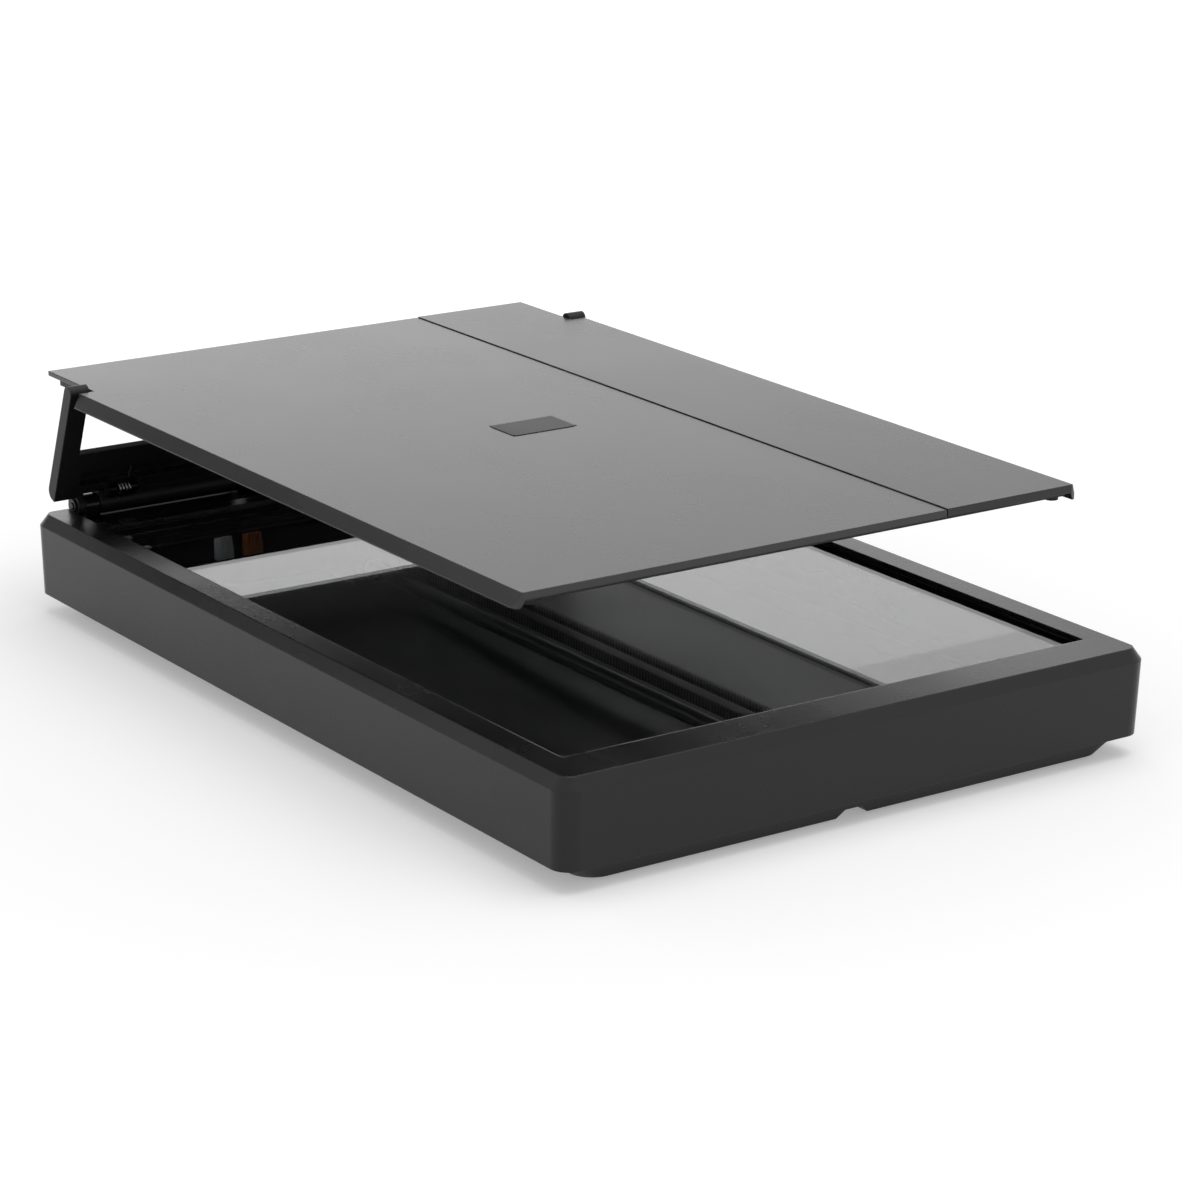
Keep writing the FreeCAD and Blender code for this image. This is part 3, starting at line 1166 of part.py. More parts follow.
def make_lid_inside():
    frame = new_body("lid_inner_frame")
    half = "lid_top_half - lid_wall - inner_gap + 0.2"
    block(frame, ("2 * (" + half + ")", "notch_y - 1.6 - inner_gap - lid_front - 1.6",
                  "inner_thick"),
          ("-(" + half + ")", "lid_front + 1.6 + inner_gap", "inner_low"))
    block(frame, ("2 * (tongue_half - 0.6)", "lid_rear - tongue_thin - notch_y + 3",
                  "inner_thick"),
          ("-(tongue_half - 0.6)", "notch_y - 3", "inner_low"))
    for start in ("-(tongue_half - 0.6)", "tongue_half - 0.6 - lug_width"):
        block(frame, ("lug_width", "8", "skin_low - closed_low"),
              (start, "pin_y - 4", "closed_low"))
    for start in ("-tongue_half", "tongue_half - lug_width - 0.7"):
        drum(frame, "pin_radius + pin_play", "lug_width + 0.7",
             (start, "pin_y", "pin_z"), axis="x", cut=True)
    finish(frame, "lid_inner_frame", LID)

    seam = "seam_x"
    foam = new_body("pad_foam")
    block(foam, ("pad_width", "pad_length", "inner_low - pad_low - sheet_thick"),
          ("-pad_width / 2", "opening_front + pad_side_gap", "pad_low + sheet_thick"))
    for start in ("-pad_width / 2 - 1", "tongue_half - lug_width - 1.2"):
        block(foam, ("lug_width + 1.2", "10", "flap_thick + 2"),
              (start, "pin_y - 5", "pad_low - 1"), cut=True)
    finish(foam, "pad_foam", LID)

    wide = new_body("backing_sheet_wide")
    block(wide, (seam + " + pad_width / 2 - 0.3", "pad_length", "sheet_thick"),
          ("-pad_width / 2", "opening_front + pad_side_gap", "pad_low"))
    finish(wide, "backing_sheet_wide", LID)

    narrow = new_body("backing_sheet_side")
    block(narrow, ("pad_width / 2 - " + seam + " - 0.3", "pad_length", "sheet_thick"),
          (seam + " + 0.3", "opening_front + pad_side_gap", "pad_low"))
    finish(narrow, "backing_sheet_side", LID)

    bumpers = []
    for across in both_sides("bumper_x"):
        for along in ("lid_front + 5.4", "opening_mid + 2"):
            bumper = new_body("Bumper")
            drum(bumper, "bumper_radius", "inner_low - closed_low",
                 (across, along, "closed_low"))
            bumpers.append(bumper)
    finish(grouped("lid_bumpers", bumpers), "lid_bumpers", LID)

    badge = new_body("blank_badge")
    plate = rounded(badge, "badge_width", "badge_length", "badge_corner",
                    ("badge_x", "badge_y - lid_shift_y",
                     "closed_top + badge_proud - badge_thick"))
    pad(badge, plate, "badge_thick")
    finish(badge, "blank_badge", LID)


def make_fasteners():
    screws = []
    for across in both_sides("post_x"):
        for along in both_sides("post_y"):
            screw = new_body("Screw")
            drum(screw, "screw_head_radius", "screw_head_height",
                 (across, along, "flange_low + 0.2 - screw_head_height"))
            drum(screw, "screw_radius - 0.15", "screw_length - 3",
                 (across, along, "flange_low"))
            screws.append(screw)
    finish(grouped("case_screws", screws), "case_screws")

    feet = []
    for across in both_sides("side_x - foot_inset_x"):
        for along in both_sides("rear_y - foot_inset_y"):
            foot = new_body("Foot")
            drum(foot, "foot_radius", "foot_stand + foot_sink", (across, along, "0"))
            feet.append(foot)
    finish(grouped("rubber_feet", feet), "rubber_feet")

    screws = []
    for dx in ("4", "board_width - 4"):
        screw = new_body("Screw")
        drum(screw, "2.0", "1.4", ("board_x - board_width / 2 + " + dx,
                                   "board_rear - board_length + 4", "board_top"))
        screws.append(screw)
    for dx in ("-6", "motor_x - belt_x + motor_radius - 2"):
        screw = new_body("Screw")
        drum(screw, "2.0", "1.4", ("belt_x + " + dx, "drive_y + gear_radius + 3.4",
                                   "plate_top"))
        screws.append(screw)
    finish(grouped("small_screws", screws), "small_screws")


make_upper_housing()
make_lower_case()
make_glass_parts()
make_rod_parts()
make_scan_unit()
make_lift_springs()
make_drive()
make_electronics()
make_flap()
make_hinge_parts()
make_torsion_springs()
make_lid_panels()
make_lid_inside()
make_fasteners()
document.recompute()

failed = [item.Label for item in document.Objects
          if "Invalid" in item.State or "Error" in item.State]
for piece in pieces:
    if piece.Shape.isNull() or not piece.Shape.isValid():
        failed.append(piece.Label)
if failed:
    raise RuntimeError("failed: " + ", ".join(failed))

os.makedirs("parts", exist_ok=True)
for piece in pieces:
    piece.Shape.exportStep(os.path.join("parts", piece.Label + ".step"))
    print(piece.Label, len(piece.Shape.Solids), "solids,", round(piece.Shape.Volume, 1), "mm3")
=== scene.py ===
import bpy
import bmesh
import math
from mathutils import Matrix, Vector

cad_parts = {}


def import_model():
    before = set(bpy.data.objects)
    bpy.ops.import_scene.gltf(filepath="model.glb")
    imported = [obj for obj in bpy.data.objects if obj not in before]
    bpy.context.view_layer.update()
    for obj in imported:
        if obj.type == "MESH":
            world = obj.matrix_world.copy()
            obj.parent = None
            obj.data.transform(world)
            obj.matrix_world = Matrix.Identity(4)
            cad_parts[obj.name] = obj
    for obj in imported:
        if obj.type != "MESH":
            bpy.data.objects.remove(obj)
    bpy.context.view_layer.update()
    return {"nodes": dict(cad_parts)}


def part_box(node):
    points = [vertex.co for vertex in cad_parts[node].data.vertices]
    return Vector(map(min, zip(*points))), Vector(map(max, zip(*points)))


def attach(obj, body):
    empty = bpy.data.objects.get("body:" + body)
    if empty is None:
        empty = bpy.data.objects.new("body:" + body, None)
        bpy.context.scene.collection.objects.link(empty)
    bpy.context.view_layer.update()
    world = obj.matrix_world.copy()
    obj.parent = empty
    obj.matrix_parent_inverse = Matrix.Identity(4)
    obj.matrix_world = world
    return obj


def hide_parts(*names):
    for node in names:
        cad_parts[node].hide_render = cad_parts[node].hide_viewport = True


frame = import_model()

# Flatbed document scanner, lid raised. Metres, +X across, +Y to the hinge, +Z up.

scene = bpy.context.scene
nodes = frame["nodes"]


# Material kit

EDGE_LOW, EDGE_HIGH = 0.02, 0.22


class Graph:
    """A node material in the making, with short names for the nodes it needs."""

    def __init__(self, name):
        self.material = bpy.data.materials.new(name)
        self.material.use_nodes = True
        self.tree = self.material.node_tree
        self.shader = self.tree.nodes["Principled BSDF"]
        self.place = self.node("ShaderNodeTexCoord").outputs["Object"]

    def node(self, kind, **settings):
        made = self.tree.nodes.new(kind)
        for key, content in settings.items():
            setattr(made, key, content)
        return made

    def link(self, source, target):
        self.tree.links.new(source, target)

    def stretched(self, x, y, z):
        """The place on the object, with each axis stretched for directional grain."""
        mapping = self.node("ShaderNodeMapping")
        mapping.inputs["Scale"].default_value = (x, y, z)
        self.link(self.place, mapping.inputs["Vector"])
        return mapping.outputs["Vector"]

    def noise(self, size, detail=2.0, rough=0.5, at=None):
        """Noise whose blobs are about so many metres across."""
        made = self.node("ShaderNodeTexNoise")
        made.inputs["Scale"].default_value = 1.0 / size
        made.inputs["Detail"].default_value = detail
        made.inputs["Roughness"].default_value = rough
        self.link(at or self.place, made.inputs["Vector"])
        return made.outputs["Fac"]

    def cells(self, size):
        made = self.node("ShaderNodeTexVoronoi")
        made.inputs["Scale"].default_value = 1.0 / size
        self.link(self.place, made.inputs["Vector"])
        return made.outputs["Distance"]

    def ramp(self, source, low, high, first=0.0, last=1.0):
        """Spread a stretch of a signal between two values."""
        made = self.node("ShaderNodeMapRange")
        made.inputs["From Min"].default_value = low
        made.inputs["From Max"].default_value = high
        made.inputs["To Min"].default_value = first
        made.inputs["To Max"].default_value = last
        self.link(source, made.inputs["Value"])
        return made.outputs["Result"]

    def math(self, operation, first, second):
        made = self.node("ShaderNodeMath", operation=operation)
        for socket, content in zip(made.inputs, (first, second)):
            if isinstance(content, (int, float)):
                socket.default_value = content
            else:
                self.link(content, socket)
        return made.outputs[0]

    def mixed(self, first, share, second, other_share):
        """Two signals added in two shares."""
        return self.math("ADD", self.math("MULTIPLY", first, share),
                         self.math("MULTIPLY", second, other_share))

    def tint(self, signal, dark, light):
        """A colour that runs from one to another with a signal."""
        made = self.node("ShaderNodeMix", data_type="RGBA")
        self.link(signal, made.inputs[0])
        for socket, colour in ((made.inputs[6], dark), (made.inputs[7], light)):
            if isinstance(colour, tuple):
                socket.default_value = (*colour, 1.0)
            else:
                self.link(colour, socket)
        return made.outputs[2]

    def bump(self, height, distance, strength, under=None):
        made = self.node("ShaderNodeBump")
        made.inputs["Strength"].default_value = strength
        made.inputs["Distance"].default_value = distance
        self.link(height, made.inputs["Height"])
        if under is not None:
            self.link(under, made.inputs["Normal"])
        return made.outputs["Normal"]

    def edge(self, radius):
        """Bright along sharp edges: how far a rounded normal leaves the true one."""
        bevel = self.node("ShaderNodeBevel", samples=4)
        bevel.inputs["Radius"].default_value = radius
        geometry = self.node("ShaderNodeNewGeometry")
        dot = self.node("ShaderNodeVectorMath", operation="DOT_PRODUCT")
        self.link(bevel.outputs["Normal"], dot.inputs[0])
        self.link(geometry.outputs["Normal"], dot.inputs[1])
        away = self.math("SUBTRACT", 1.0, dot.outputs["Value"])
        return self.ramp(away, EDGE_LOW, EDGE_HIGH), bevel.outputs["Normal"]

    def set(self, **values):
        names = {"metal": "Metallic", "ior": "IOR", "level": "Specular IOR Level",
                 "coat": "Coat Weight", "coat_rough": "Coat Roughness",
                 "clear": "Transmission Weight", "sheen": "Sheen Weight",
                 "sheen_rough": "Sheen Roughness"}
        for key, content in values.items():
            self.shader.inputs[names[key]].default_value = content

    def finish(self, colour, rough, normal=None):
        self.link(colour, self.shader.inputs["Base Color"])
        self.link(rough, self.shader.inputs["Roughness"])
        if normal is not None:
            self.link(normal, self.shader.inputs["Normal"])
        return self.material


def grey(level, cool=0.0):
    return (level * (1 - cool), level, level * (1 + cool))


def within(g, low, high):
    """One inside a box given in metres, zero outside it."""
    parts = g.node("ShaderNodeSeparateXYZ")
    g.link(g.place, parts.inputs[0])
    inside = 1.0
    for axis in range(3):
        above = g.math("GREATER_THAN", parts.outputs[axis], low[axis])
        below = g.math("LESS_THAN", parts.outputs[axis], high[axis])
        inside = g.math("MULTIPLY", g.math("MULTIPLY", above, below), inside)
    return inside


def moulded(name, shade, rough, grain=0.0006, depth=0.00004, cool=0.01, wear=1.5,
            spread=0.06, matt_shade_box=None, **values):
    """Moulded plastic: spark-eroded grain, slow sheen changes, handled edges."""
    g = Graph(name)
    worn, rounded = g.edge(0.0007)
    fine = g.noise(grain, 3.0, 0.62)
    pits = g.cells(grain * 1.9)
    slow = g.noise(0.055, 3.0, 0.5)
    smear = g.noise(0.018, 4.0, 0.6, g.stretched(1.0, 0.35, 1.0))
    body = g.tint(g.math("MULTIPLY", fine, slow), grey(shade * 0.72, cool),
                  grey(shade * 1.75, cool))
    edge_break = g.math("MULTIPLY", worn, g.ramp(g.noise(0.006, 3.0, 0.7), 0.35, 0.7))
    colour = g.tint(g.math("MULTIPLY", edge_break, 0.5), body, grey(shade * (1 + wear), cool))
    even = g.ramp(g.mixed(slow, 0.6, smear, 0.4), 0.3, 0.7, rough - spread, rough + spread)
    shine = g.math("SUBTRACT", even, g.math("MULTIPLY", edge_break, 0.12))
    if matt_shade_box is not None:
        matt = within(g, *matt_shade_box)
        shine = g.math("MAXIMUM", shine, g.math("MULTIPLY", matt, 0.9))
        # Inside the box the colour is darkened as well: painted shade in the hinge well.
        colour = g.tint(matt, colour, grey(shade * 0.6))
    g.set(**values)
    return g.finish(colour, shine, g.bump(g.mixed(fine, 0.7, pits, 0.5), depth, 0.8, rounded))


def metal(name, colour, rough, along=(1.0, 1.0, 0.05), scale=0.0005):
    """Ground or drawn metal: fine lines along one way, dull patches, bright edges."""
    g = Graph(name)
    worn, rounded = g.edge(0.0003)
    lines = g.noise(scale, 3.0, 0.6, g.stretched(*along))
    patch = g.noise(0.008, 3.0, 0.6)
    dark = tuple(c * 0.72 for c in colour)
    bright = tuple(min(1.0, c * 1.3) for c in colour)
    body = g.tint(g.math("MULTIPLY", lines, patch), dark, colour)
    final = g.tint(g.math("MULTIPLY", worn, 0.6), body, bright)
    shine = g.ramp(g.mixed(lines, 0.5, patch, 0.5), 0.3, 0.7, rough - 0.09, rough + 0.12)
    g.set(metal=1.0)
    return g.finish(final, shine, g.bump(lines, 0.00002, 0.6, rounded))


def glassy(name, colour, ior=1.5):
    """Polished glass: faint smears and a few dust specks catch the light."""
    g = Graph(name)
    smear = g.noise(0.04, 4.0, 0.6, g.stretched(1.0, 0.4, 1.0))
    speck = g.ramp(g.noise(0.0022, 1.0, 0.4), 0.78, 0.84)
    shine = g.math("ADD", g.ramp(smear, 0.55, 0.8, 0.0, 0.006), g.math("MULTIPLY", speck, 0.02))
    body = g.tint(g.ramp(smear, 0.5, 0.8), colour, tuple(c * 0.994 for c in colour))
    g.set(clear=1.0, ior=ior)
    return g.finish(body, shine)


def rubber(name, shade=0.02, rough=0.78):
    """Matt rubber with dust in its grain and paler edges."""
    g = Graph(name)
    worn, rounded = g.edge(0.0005)
    fine = g.noise(0.0004, 4.0, 0.7)
    dust = g.noise(0.004, 4.0, 0.7)
    body = g.tint(g.ramp(dust, 0.45, 0.8), grey(shade * 0.8), grey(shade * 2.6))
    colour = g.tint(g.math("MULTIPLY", worn, 0.4), body, grey(shade * 3.0))
    shine = g.ramp(dust, 0.3, 0.7, rough - 0.08, rough + 0.1)
    g.set(level=0.35)
    return g.finish(colour, shine, g.bump(fine, 0.00005, 0.8, rounded))


def board(name):
    """Solder mask over copper tracks, with scattered pads."""
    g = Graph(name)
    grid = g.node("ShaderNodeTexBrick")
    grid.inputs["Scale"].default_value = 260.0
    grid.inputs["Mortar Size"].default_value = 0.03
    g.link(g.place, grid.inputs["Vector"])
    tracks = g.ramp(g.noise(0.0032, 1.0, 0.4, g.stretched(1.0, 0.18, 1.0)), 0.49, 0.51)
    mask = g.tint(tracks, (0.006, 0.055, 0.026), (0.014, 0.115, 0.05))
    pads = g.ramp(g.cells(0.0026), 0.16, 0.13)
    colour = g.tint(pads, mask, (0.42, 0.4, 0.34))
    shine = g.ramp(g.noise(0.006), 0.3, 0.7, 0.22, 0.4)
    rise = g.mixed(tracks, 0.5, grid.outputs["Fac"], 0.2)
    g.set(coat=0.2, coat_rough=0.2)
    return g.finish(colour, shine, g.bump(rise, 0.00006, 0.7))


def foam_cells(name):
    """Open-cell foam: round pores with soft walls, with painted shade darkening their depth."""
    g = Graph(name)
    slow = g.noise(0.03, 3.0)
    deep = g.mixed(g.cells(0.0011), 0.7, g.cells(0.0005), 0.3)
    # Colour is darkest at the pore centres: painted shade in the pores.
    colour = g.tint(g.math("MULTIPLY", deep, slow), grey(0.006), grey(0.035))
    shine = g.ramp(deep, 0.1, 0.6, 0.98, 0.82)
    g.set(sheen=0.05, sheen_rough=0.6, level=0.15)
    return g.finish(colour, shine, g.bump(deep, 0.0004, 0.9))


def film(name, shade, rough, **values):
    """Smooth plastic sheet: satin film with faint rolling lines and handling marks."""
    g = Graph(name)
    roll = g.noise(0.0008, 2.0, 0.5, g.stretched(1.0, 0.03, 1.0))
    slow = g.noise(0.07, 3.0)
    scuff = g.ramp(g.noise(0.009, 5.0, 0.75, g.stretched(1.0, 0.2, 1.0)), 0.62, 0.72)
    body = g.tint(slow, grey(shade * 0.85), grey(shade * 1.15))
    colour = g.tint(g.math("MULTIPLY", scuff, 0.25), body, grey(shade * 1.6 + 0.01))
    shine = g.ramp(g.mixed(slow, 0.6, roll, 0.4), 0.3, 0.7, rough - 0.05, rough + 0.07)
    g.set(**values)
    return g.finish(colour, shine, g.bump(roll, 0.00001, 0.5))


def toothed_rubber(name):
    """Belt rubber with moulded ribs across it, with painted shade in the grooves and painted
    highlight on the crests.
    """
    g = Graph(name)
    ribs = g.node("ShaderNodeTexWave", bands_direction="Y", wave_profile="SIN")
    ribs.inputs["Scale"].default_value = 170.0
    g.link(g.place, ribs.inputs["Vector"])
    fine = g.noise(0.0004, 3.0)
    # Colour follows the rib height: painted shade in the grooves, painted highlight on the
    # crests.
    colour = g.tint(ribs.outputs["Fac"], grey(0.005), grey(0.014))
    shine = g.ramp(fine, 0.3, 0.7, 0.62, 0.8)
    height = g.math("ADD", ribs.outputs["Fac"], g.math("MULTIPLY", fine, 0.2))
    return g.finish(colour, shine, g.bump(height, 0.0004, 0.8))


def resin(name, dark, light, rough):
    """Coloured housing resin with flow marks and a soft shine."""
    g = Graph(name)
    worn, rounded = g.edge(0.0002)
    flow = g.noise(0.0022, 3.0, 0.6)
    shine = g.math("SUBTRACT", g.ramp(flow, 0.3, 0.7, rough - 0.06, rough + 0.08),
                   g.math("MULTIPLY", worn, 0.08))
    return g.finish(g.tint(flow, dark, light), shine,
                    g.bump(g.noise(0.0004), 0.00002, 0.6, rounded))


# Finishes

# The hinge well is matt, and its colour is darkened as painted shade, so that its rear lip
# draws no bright line under the flap.
WELL_SHADE_BOX = ((-0.1162, 0.1455, 0.02), (0.1162, 0.17605, 0.0352))
LID_GRAIN = {"grain": 0.0005, "depth": 0.000018, "wear": 2.5, "spread": 0.015}
ANY_WAY = (1.0, 1.0, 1.0)
LINES_ACROSS = (0.05, 1.0, 1.0)
LINES_LENGTHWISE = (1.0, 0.05, 1.0)

case_skin = moulded("case_grain", 0.003, 0.27, level=0.37, matt_shade_box=WELL_SHADE_BOX)
belly_skin = moulded("belly_grain", 0.005, 0.45, level=0.4)
flap_skin = moulded("flap_grain", 0.009, 0.44, level=0.25)
lid_skin = moulded("lid_satin", 0.008, 0.27, level=0.58, **LID_GRAIN)
lid_side_skin = moulded("lid_side_satin", 0.007, 0.27, level=0.42, **LID_GRAIN)
lid_frame_skin = moulded("lid_frame_grain", 0.006, 0.5, level=0.35)
inner_skin = moulded("inner_grain", 0.004, 0.55, level=0.25)
chip_skin = moulded("chip_resin", 0.018, 0.55, grain=0.0003, cool=0.0)
white_skin = moulded("white_resin", 0.6, 0.36, cool=0.005, wear=0.1)
header_skin = moulded("header_resin", 0.8, 0.4, cool=0.05, wear=0.1)
lens_skin = moulded("lens_array", 0.01, 0.2, grain=0.0004, cool=0.2, coat=0.6, coat_rough=0.08)
badge_skin = moulded("badge_plate", 0.004, 0.3, grain=0.0004, depth=0.00001, wear=4.0,
                     level=0.06)
plug_skin = resin("orange_resin", (0.5, 0.1, 0.015), (0.8, 0.24, 0.04), 0.4)
strip_skin = film("white_strip_film", 0.5, 0.45)
wide_film = film("dark_backing", 0.0015, 0.6, level=0.08)
side_film = film("grey_backing", 0.14, 0.4, level=0.4)
tape_skin = rubber("tape_black", 0.012, 0.7)
rubber_skin = rubber("foot_rubber")
belt_skin = toothed_rubber("belt_ribs")
foam_skin = foam_cells("open_cell_foam")
steel = metal("ground_steel", (0.62, 0.62, 0.63), 0.24)
rod_steel = metal("blued_rod", (0.05, 0.05, 0.055), 0.34, LINES_LENGTHWISE)
shaft_steel = metal("blued_shaft", (0.045, 0.045, 0.05), 0.36, LINES_ACROSS)
wire_steel = metal("spring_steel", (0.2, 0.2, 0.21), 0.26, ANY_WAY)
screw_steel = metal("dark_screws", (0.2, 0.2, 0.21), 0.34, ANY_WAY)
can_steel = metal("drawn_can", (0.55, 0.55, 0.56), 0.3, (1.0, 1.0, 0.03))
shell_steel = metal("plated_shell", (0.6, 0.6, 0.6), 0.2, LINES_ACROSS)
bronze = metal("sintered_bronze", (0.55, 0.36, 0.18), 0.42, ANY_WAY, 0.0008)
circuit = board("circuit_board")
platen = glassy("platen_glass", (0.975, 0.99, 0.985))
sensor_glass = glassy("sensor_glass", (0.96, 0.98, 0.98))
guide_clear = glassy("guide_acrylic", (0.95, 0.97, 0.93), 1.49)

FINISHES = {
    "upper_housing": case_skin, "lower_case": belly_skin, "platen_glass": platen,
    "glass_tape": tape_skin, "calibration_strip": strip_skin, "guide_rod": rod_steel,
    "rod_clips": rod_steel, "carriage_cradle": inner_skin, "rod_bushes": bronze,
    "sensor_housing": inner_skin, "sensor_window": sensor_glass,
    "rod_lens_array": lens_skin, "light_guide": guide_clear, "sensor_board": circuit,
    "glide_pads": white_skin, "belt_clamp": inner_skin, "lift_springs": wire_steel,
    "toothed_belt": belt_skin, "drive_pulley": white_skin, "idler_pulley": white_skin,
    "motor_pinion": bronze, "motor_shaft": steel, "stepper_motor": can_steel,
    "motor_plate": steel, "idler_bracket": steel, "pulley_axles": steel,
    "main_board": circuit, "board_chips": chip_skin, "data_socket": shell_steel,
    "socket_tongue": inner_skin, "hinge_flap": flap_skin, "hinge_shaft": shaft_steel,
    "retaining_rings": rod_steel, "lid_pivot_pins": shaft_steel, "spring_pins": shaft_steel,
    "torsion_springs": wire_steel, "lid_wide_panel": lid_skin, "lid_side_panel": lid_side_skin,
    "lid_inner_frame": lid_frame_skin, "backing_sheet_wide": wide_film,
    "backing_sheet_side": side_film, "lid_bumpers": rubber_skin, "blank_badge": badge_skin,
    "case_screws": screw_steel, "rubber_feet": rubber_skin, "small_screws": screw_steel,
    "pad_foam": inner_skin,
}
for name, finish in FINISHES.items():
    mesh = nodes[name].data
    mesh.materials.clear()
    mesh.materials.append(finish)


# Pieces

def in_scene(name, build):
    """An object in the scene from a bmesh, which is freed."""
    mesh = bpy.data.meshes.new(name)
    build.to_mesh(mesh)
    build.free()
    made = bpy.data.objects.new(name, mesh)
    scene.collection.objects.link(made)
    return made


def shown(name, build, material, body, smooth):
    """A piece of the object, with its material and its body."""
    piece = in_scene(name, build)
    mesh = piece.data
    mesh.materials.append(material)
    for face in mesh.polygons:
        face.use_smooth = True
    mesh.set_sharp_from_angle(angle=math.radians(smooth))
    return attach(piece, body)


def bevelled_box(build, low, high, bend):
    """A box with every edge cut at a bevel."""
    made = bmesh.ops.create_cube(build, size=1.0)["verts"]
    size = [b - a for a, b in zip(low, high)]
    middle = [(a + b) / 2 for a, b in zip(low, high)]
    bmesh.ops.scale(build, vec=size, verts=made)
    bmesh.ops.translate(build, vec=middle, verts=made)
    edges = list({edge for vert in made for edge in vert.link_edges})
    bmesh.ops.bevel(build, geom=edges, offset=bend, segments=1, affect="EDGES",
                    profile=0.5)


# The foam behind the document: drawn-in sides, and a notch round each pivot lug of the lid.
foam_low, foam_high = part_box("pad_foam")
pins_low, pins_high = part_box("lid_pivot_pins")

FOAM_RIM = 0.0008
FOAM_EDGE = 0.001
FOAM_PULL = 0.0007
FOAM_START = 0.002
CELLS_ACROSS = 44
CELLS_ALONG = 60
NOTCH_REACH = 0.0068
NOTCH_HALF = 0.0053


def foam_pad():
    """A grid of cells in two layers, whose outline skips the notches."""
    build = bmesh.new()
    x0, y0, z0 = foam_low
    x1, y1, z1 = foam_high
    notch_front = (pins_low.y + pins_high.y) / 2 - NOTCH_HALF
    notch_rear = notch_front + 2 * NOTCH_HALF
    across = [x0, x0 + FOAM_RIM]
    across += [x0 + NOTCH_REACH + k * (x1 - x0 - 2 * NOTCH_REACH) / CELLS_ACROSS
               for k in range(CELLS_ACROSS + 1)]
    across += [x1 - FOAM_RIM, x1]
    along = [y0, y0 + FOAM_RIM]
    along += [y0 + FOAM_START + k * (notch_front - y0 - FOAM_START) / CELLS_ALONG
              for k in range(CELLS_ALONG + 1)]
    along += [notch_rear, y1 - FOAM_RIM, y1]

    def inside(x, y):
        beside = x < x0 + NOTCH_REACH or x > x1 - NOTCH_REACH
        return not (beside and notch_front < y < notch_rear)

    def drawn(x, y):
        """Sides pull in a little between the corners."""
        inward_x = FOAM_PULL * math.sin(math.pi * (y - y0) / (y1 - y0))
        inward_y = FOAM_PULL * math.sin(math.pi * (x - x0) / (x1 - x0))
        if x < x0 + FOAM_EDGE:
            x += inward_x
        if x > x1 - FOAM_EDGE:
            x -= inward_x
        if y < y0 + FOAM_EDGE:
            y += inward_y
        if y > y1 - FOAM_EDGE:
            y -= inward_y
        return x, y

    layers = (z0, z0 + (z1 - z0) * 0.5, z1)
    verts = {}

    def vert(key):
        if key not in verts:
            i, j, k = key
            verts[key] = build.verts.new((*drawn(across[i], along[j]), layers[k]))
        return verts[key]

    def filled(i, j):
        if not (0 <= i < len(across) - 1 and 0 <= j < len(along) - 1):
            return False
        return inside((across[i] + across[i + 1]) / 2, (along[j] + along[j + 1]) / 2)

    def face(*keys):
        build.faces.new([vert(key) for key in keys])

    for i in range(len(across) - 1):
        for j in range(len(along) - 1):
            if not filled(i, j):
                continue
            face((i, j, 0), (i, j + 1, 0), (i + 1, j + 1, 0), (i + 1, j, 0))
            face((i, j, 2), (i + 1, j, 2), (i + 1, j + 1, 2), (i, j + 1, 2))
            for side, a, b in (((i - 1, j), (i, j), (i, j + 1)),
                               ((i + 1, j), (i + 1, j + 1), (i + 1, j)),
                               ((i, j - 1), (i + 1, j), (i, j)),
                               ((i, j + 1), (i, j + 1), (i + 1, j + 1))):
                if filled(*side):
                    continue
                for k in (0, 1):
                    face((*a, k), (*a, k + 1), (*b, k + 1), (*b, k))
    bmesh.ops.recalc_face_normals(build, faces=build.faces)
    return build


foam = shown("foam_pad", foam_pad(), foam_skin, "lid", smooth=50)
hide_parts("pad_foam")


# Small connectors on the scan unit, between the cradle's front wall and the sensor.
sensor_low, sensor_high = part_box("sensor_housing")
cradle_low, cradle_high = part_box("carriage_cradle")

CONNECTOR_GAP = 0.0001
CONNECTOR_BEVEL = 0.0002
STEP_TOP = 0.0009
STEP_BACK = 0.0013
STEP_DROP = 0.0006
SLOPE_FOOT = 0.0024
CONTACT_HALF = 0.22
CONTACT_PROUD = 0.0003
CONTACT_FOOT = 0.0012


def connector(name, x, width, high, material, pins):
    """A header with a sloped front, a stepped top and a row of contacts."""
    build = bmesh.new()
    front = cradle_low.y + 0.0002
    back = sensor_low.y - CONNECTOR_GAP
    low = cradle_high.z + CONNECTOR_GAP
    outline = [(front, low), (back, low), (back, high), (back - STEP_TOP, high),
               (back - STEP_BACK, high - STEP_DROP), (front + 0.0001, low + SLOPE_FOOT)]
    rings = [[build.verts.new((at, y, z)) for y, z in outline] for at in (x, x + width)]
    build.faces.new(rings[0])
    build.faces.new(list(reversed(rings[1])))
    for k in range(len(outline)):
        after = (k + 1) % len(outline)
        build.faces.new((rings[0][k], rings[1][k], rings[1][after], rings[0][after]))
    bmesh.ops.bevel(build, geom=list(build.edges), offset=CONNECTOR_BEVEL, segments=2,
                    affect="EDGES", profile=0.5)
    pitch = width / (pins + 1)
    for k in range(pins):
        middle = x + pitch * (k + 1)
        bevelled_box(build,
                     (middle - pitch * CONTACT_HALF, front + 0.0003, low + CONTACT_FOOT),
                     (middle + pitch * CONTACT_HALF, back - 0.0002, high + CONTACT_PROUD),
                     0.0001)
    bmesh.ops.recalc_face_normals(build, faces=build.faces)
    shown(name, build, material, "carriage", smooth=40)


connector("sensor_header", x=-0.0775, width=0.0075, high=0.0335, material=header_skin, pins=5)
connector("sensor_plug", x=-0.0652, width=0.0082, high=0.0333, material=plug_skin, pins=4)


# Floor, light and camera

FLOOR_HALF = 4.0
FLOOR_SHADE = 0.8
GLOW_NEAR, GLOW_FAR = 0.25, 0.9
GLOW_LOW, GLOW_HIGH = 0.3, 0.5
WORLD_LIGHT, WORLD_SEEN = 0.6, 1.0


